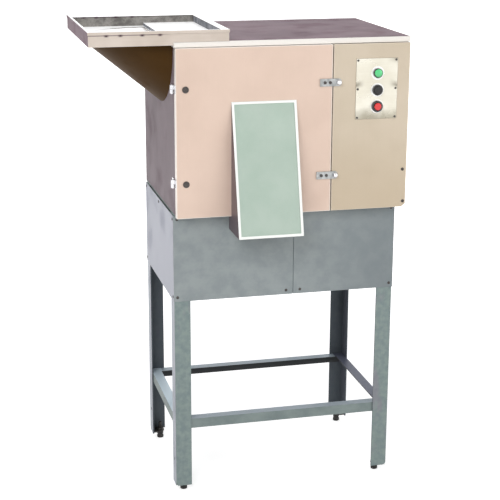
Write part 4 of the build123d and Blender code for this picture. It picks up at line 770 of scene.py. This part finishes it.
def make_stage():
    """A wide pale floor that shows white to the camera and keeps the shadow."""
    data = bpy.data.meshes.new("floor")
    half = 30.0
    corners = [(-half, -half, FLOOR_Z), (half, -half, FLOOR_Z), (half, half, FLOOR_Z), (-half, half, FLOOR_Z)]
    data.from_pydata(corners, [], [(0, 1, 2, 3)])
    floor = bpy.data.objects.new("floor", data)
    bpy.context.scene.collection.objects.link(floor)
    recipe = Recipe("floor_paper")
    recipe.shader.inputs["Base Color"].default_value = (0.86, 0.86, 0.86, 1)
    recipe.shader.inputs["Roughness"].default_value = 0.9
    recipe.shader.inputs["Specular IOR Level"].default_value = 0.1
    recipe.shader.inputs["Emission Color"].default_value = (1, 1, 1, 1)
    path = recipe.nodes.new("ShaderNodeLightPath")
    seen = recipe.either(path.outputs["Is Camera Ray"], path.outputs["Is Glossy Ray"])
    seen = recipe.either(seen, path.outputs["Is Transmission Ray"])
    across = recipe.calc("MULTIPLY", recipe.x, recipe.x)
    along = recipe.calc("MULTIPLY", recipe.y, recipe.y)
    away = recipe.calc("SQRT", recipe.calc("ADD", across, along))
    lift = recipe.spread(away, 0.5, 3.0, 0.6, 1.2)
    recipe.links.new(recipe.calc("MULTIPLY", seen, lift), recipe.shader.inputs["Emission Strength"])
    data.materials.append(recipe.material)


def make_world():
    """White to the camera and to reflections, and a plain soft grey as light."""
    world = bpy.data.worlds.new("studio")
    bpy.context.scene.world = world
    world.use_nodes = True
    nodes = world.node_tree.nodes
    links = world.node_tree.links
    background = nodes["Background"]
    background.inputs["Color"].default_value = (1, 1, 1, 1)
    path = nodes.new("ShaderNodeLightPath")
    seen = path.outputs["Is Camera Ray"]
    for name in ("Is Glossy Ray", "Is Transmission Ray"):
        larger = nodes.new("ShaderNodeMath")
        larger.operation = "MAXIMUM"
        links.new(seen, larger.inputs[0])
        links.new(path.outputs[name], larger.inputs[1])
        seen = larger.outputs[0]
    strength = nodes.new("ShaderNodeMapRange")
    strength.inputs["To Min"].default_value = 0.36
    strength.inputs["To Max"].default_value = 1.0
    links.new(seen, strength.inputs["Value"])
    links.new(strength.outputs[0], background.inputs["Strength"])


def make_light(name, place, target, size, power):
    lamp = bpy.data.lights.new(name, "AREA")
    lamp.shape = "SQUARE"
    lamp.size = size
    lamp.energy = power
    obj = bpy.data.objects.new(name, lamp)
    bpy.context.scene.collection.objects.link(obj)
    obj.location = place
    obj.rotation_euler = (Vector(target) - Vector(place)).to_track_quat("-Z", "Y").to_euler()


def make_camera():
    """The photograph's view, fitted to the cabinet's, the stand's and the tray's corners."""
    corner = Vector((LEFT_FACE_X, FRONT_FACE_Y, FLOOR_Z))
    yaw = math.radians(CAMERA_YAW)
    pitch = math.radians(CAMERA_PITCH)
    roll = math.radians(CAMERA_ROLL)
    forward = Vector((math.sin(yaw) * math.cos(pitch), math.cos(yaw) * math.cos(pitch), -math.sin(pitch)))
    level = Vector((math.cos(yaw), -math.sin(yaw), 0.0))
    upright = level.cross(forward)
    right = level * math.cos(roll) + upright * math.sin(roll)
    up = upright * math.cos(roll) - level * math.sin(roll)
    data = bpy.data.cameras.new("camera")
    data.sensor_width = SENSOR_MM
    data.lens = FOCAL_PIXELS * SENSOR_MM / PICTURE_PIXELS
    camera = bpy.data.objects.new("camera", data)
    bpy.context.scene.collection.objects.link(camera)
    turn = Matrix((right, up, -forward)).transposed().to_4x4()
    camera.matrix_world = Matrix.Translation(corner + CAMERA_OFFSET) @ turn
    bpy.context.scene.camera = camera


dress_nodes()
dress_screws("skirt_screws", "machine", "screw_steel")
dress_screws("panel_screws", "machine", "screw_steel")
make_stage()
make_world()
make_light("key", (-2.2, -3.6, 3.4), (0, 0, 0.8), 2.6, 108)
make_light("fill", (3.2, -2.6, 2.2), (0, 0, 0.8), 3.0, 43)
make_light("back", (0.5, 3.5, 3.0), (0, 0, 0.9), 3.0, 43)
make_camera()
bpy.context.scene.view_settings.view_transform = "Standard"
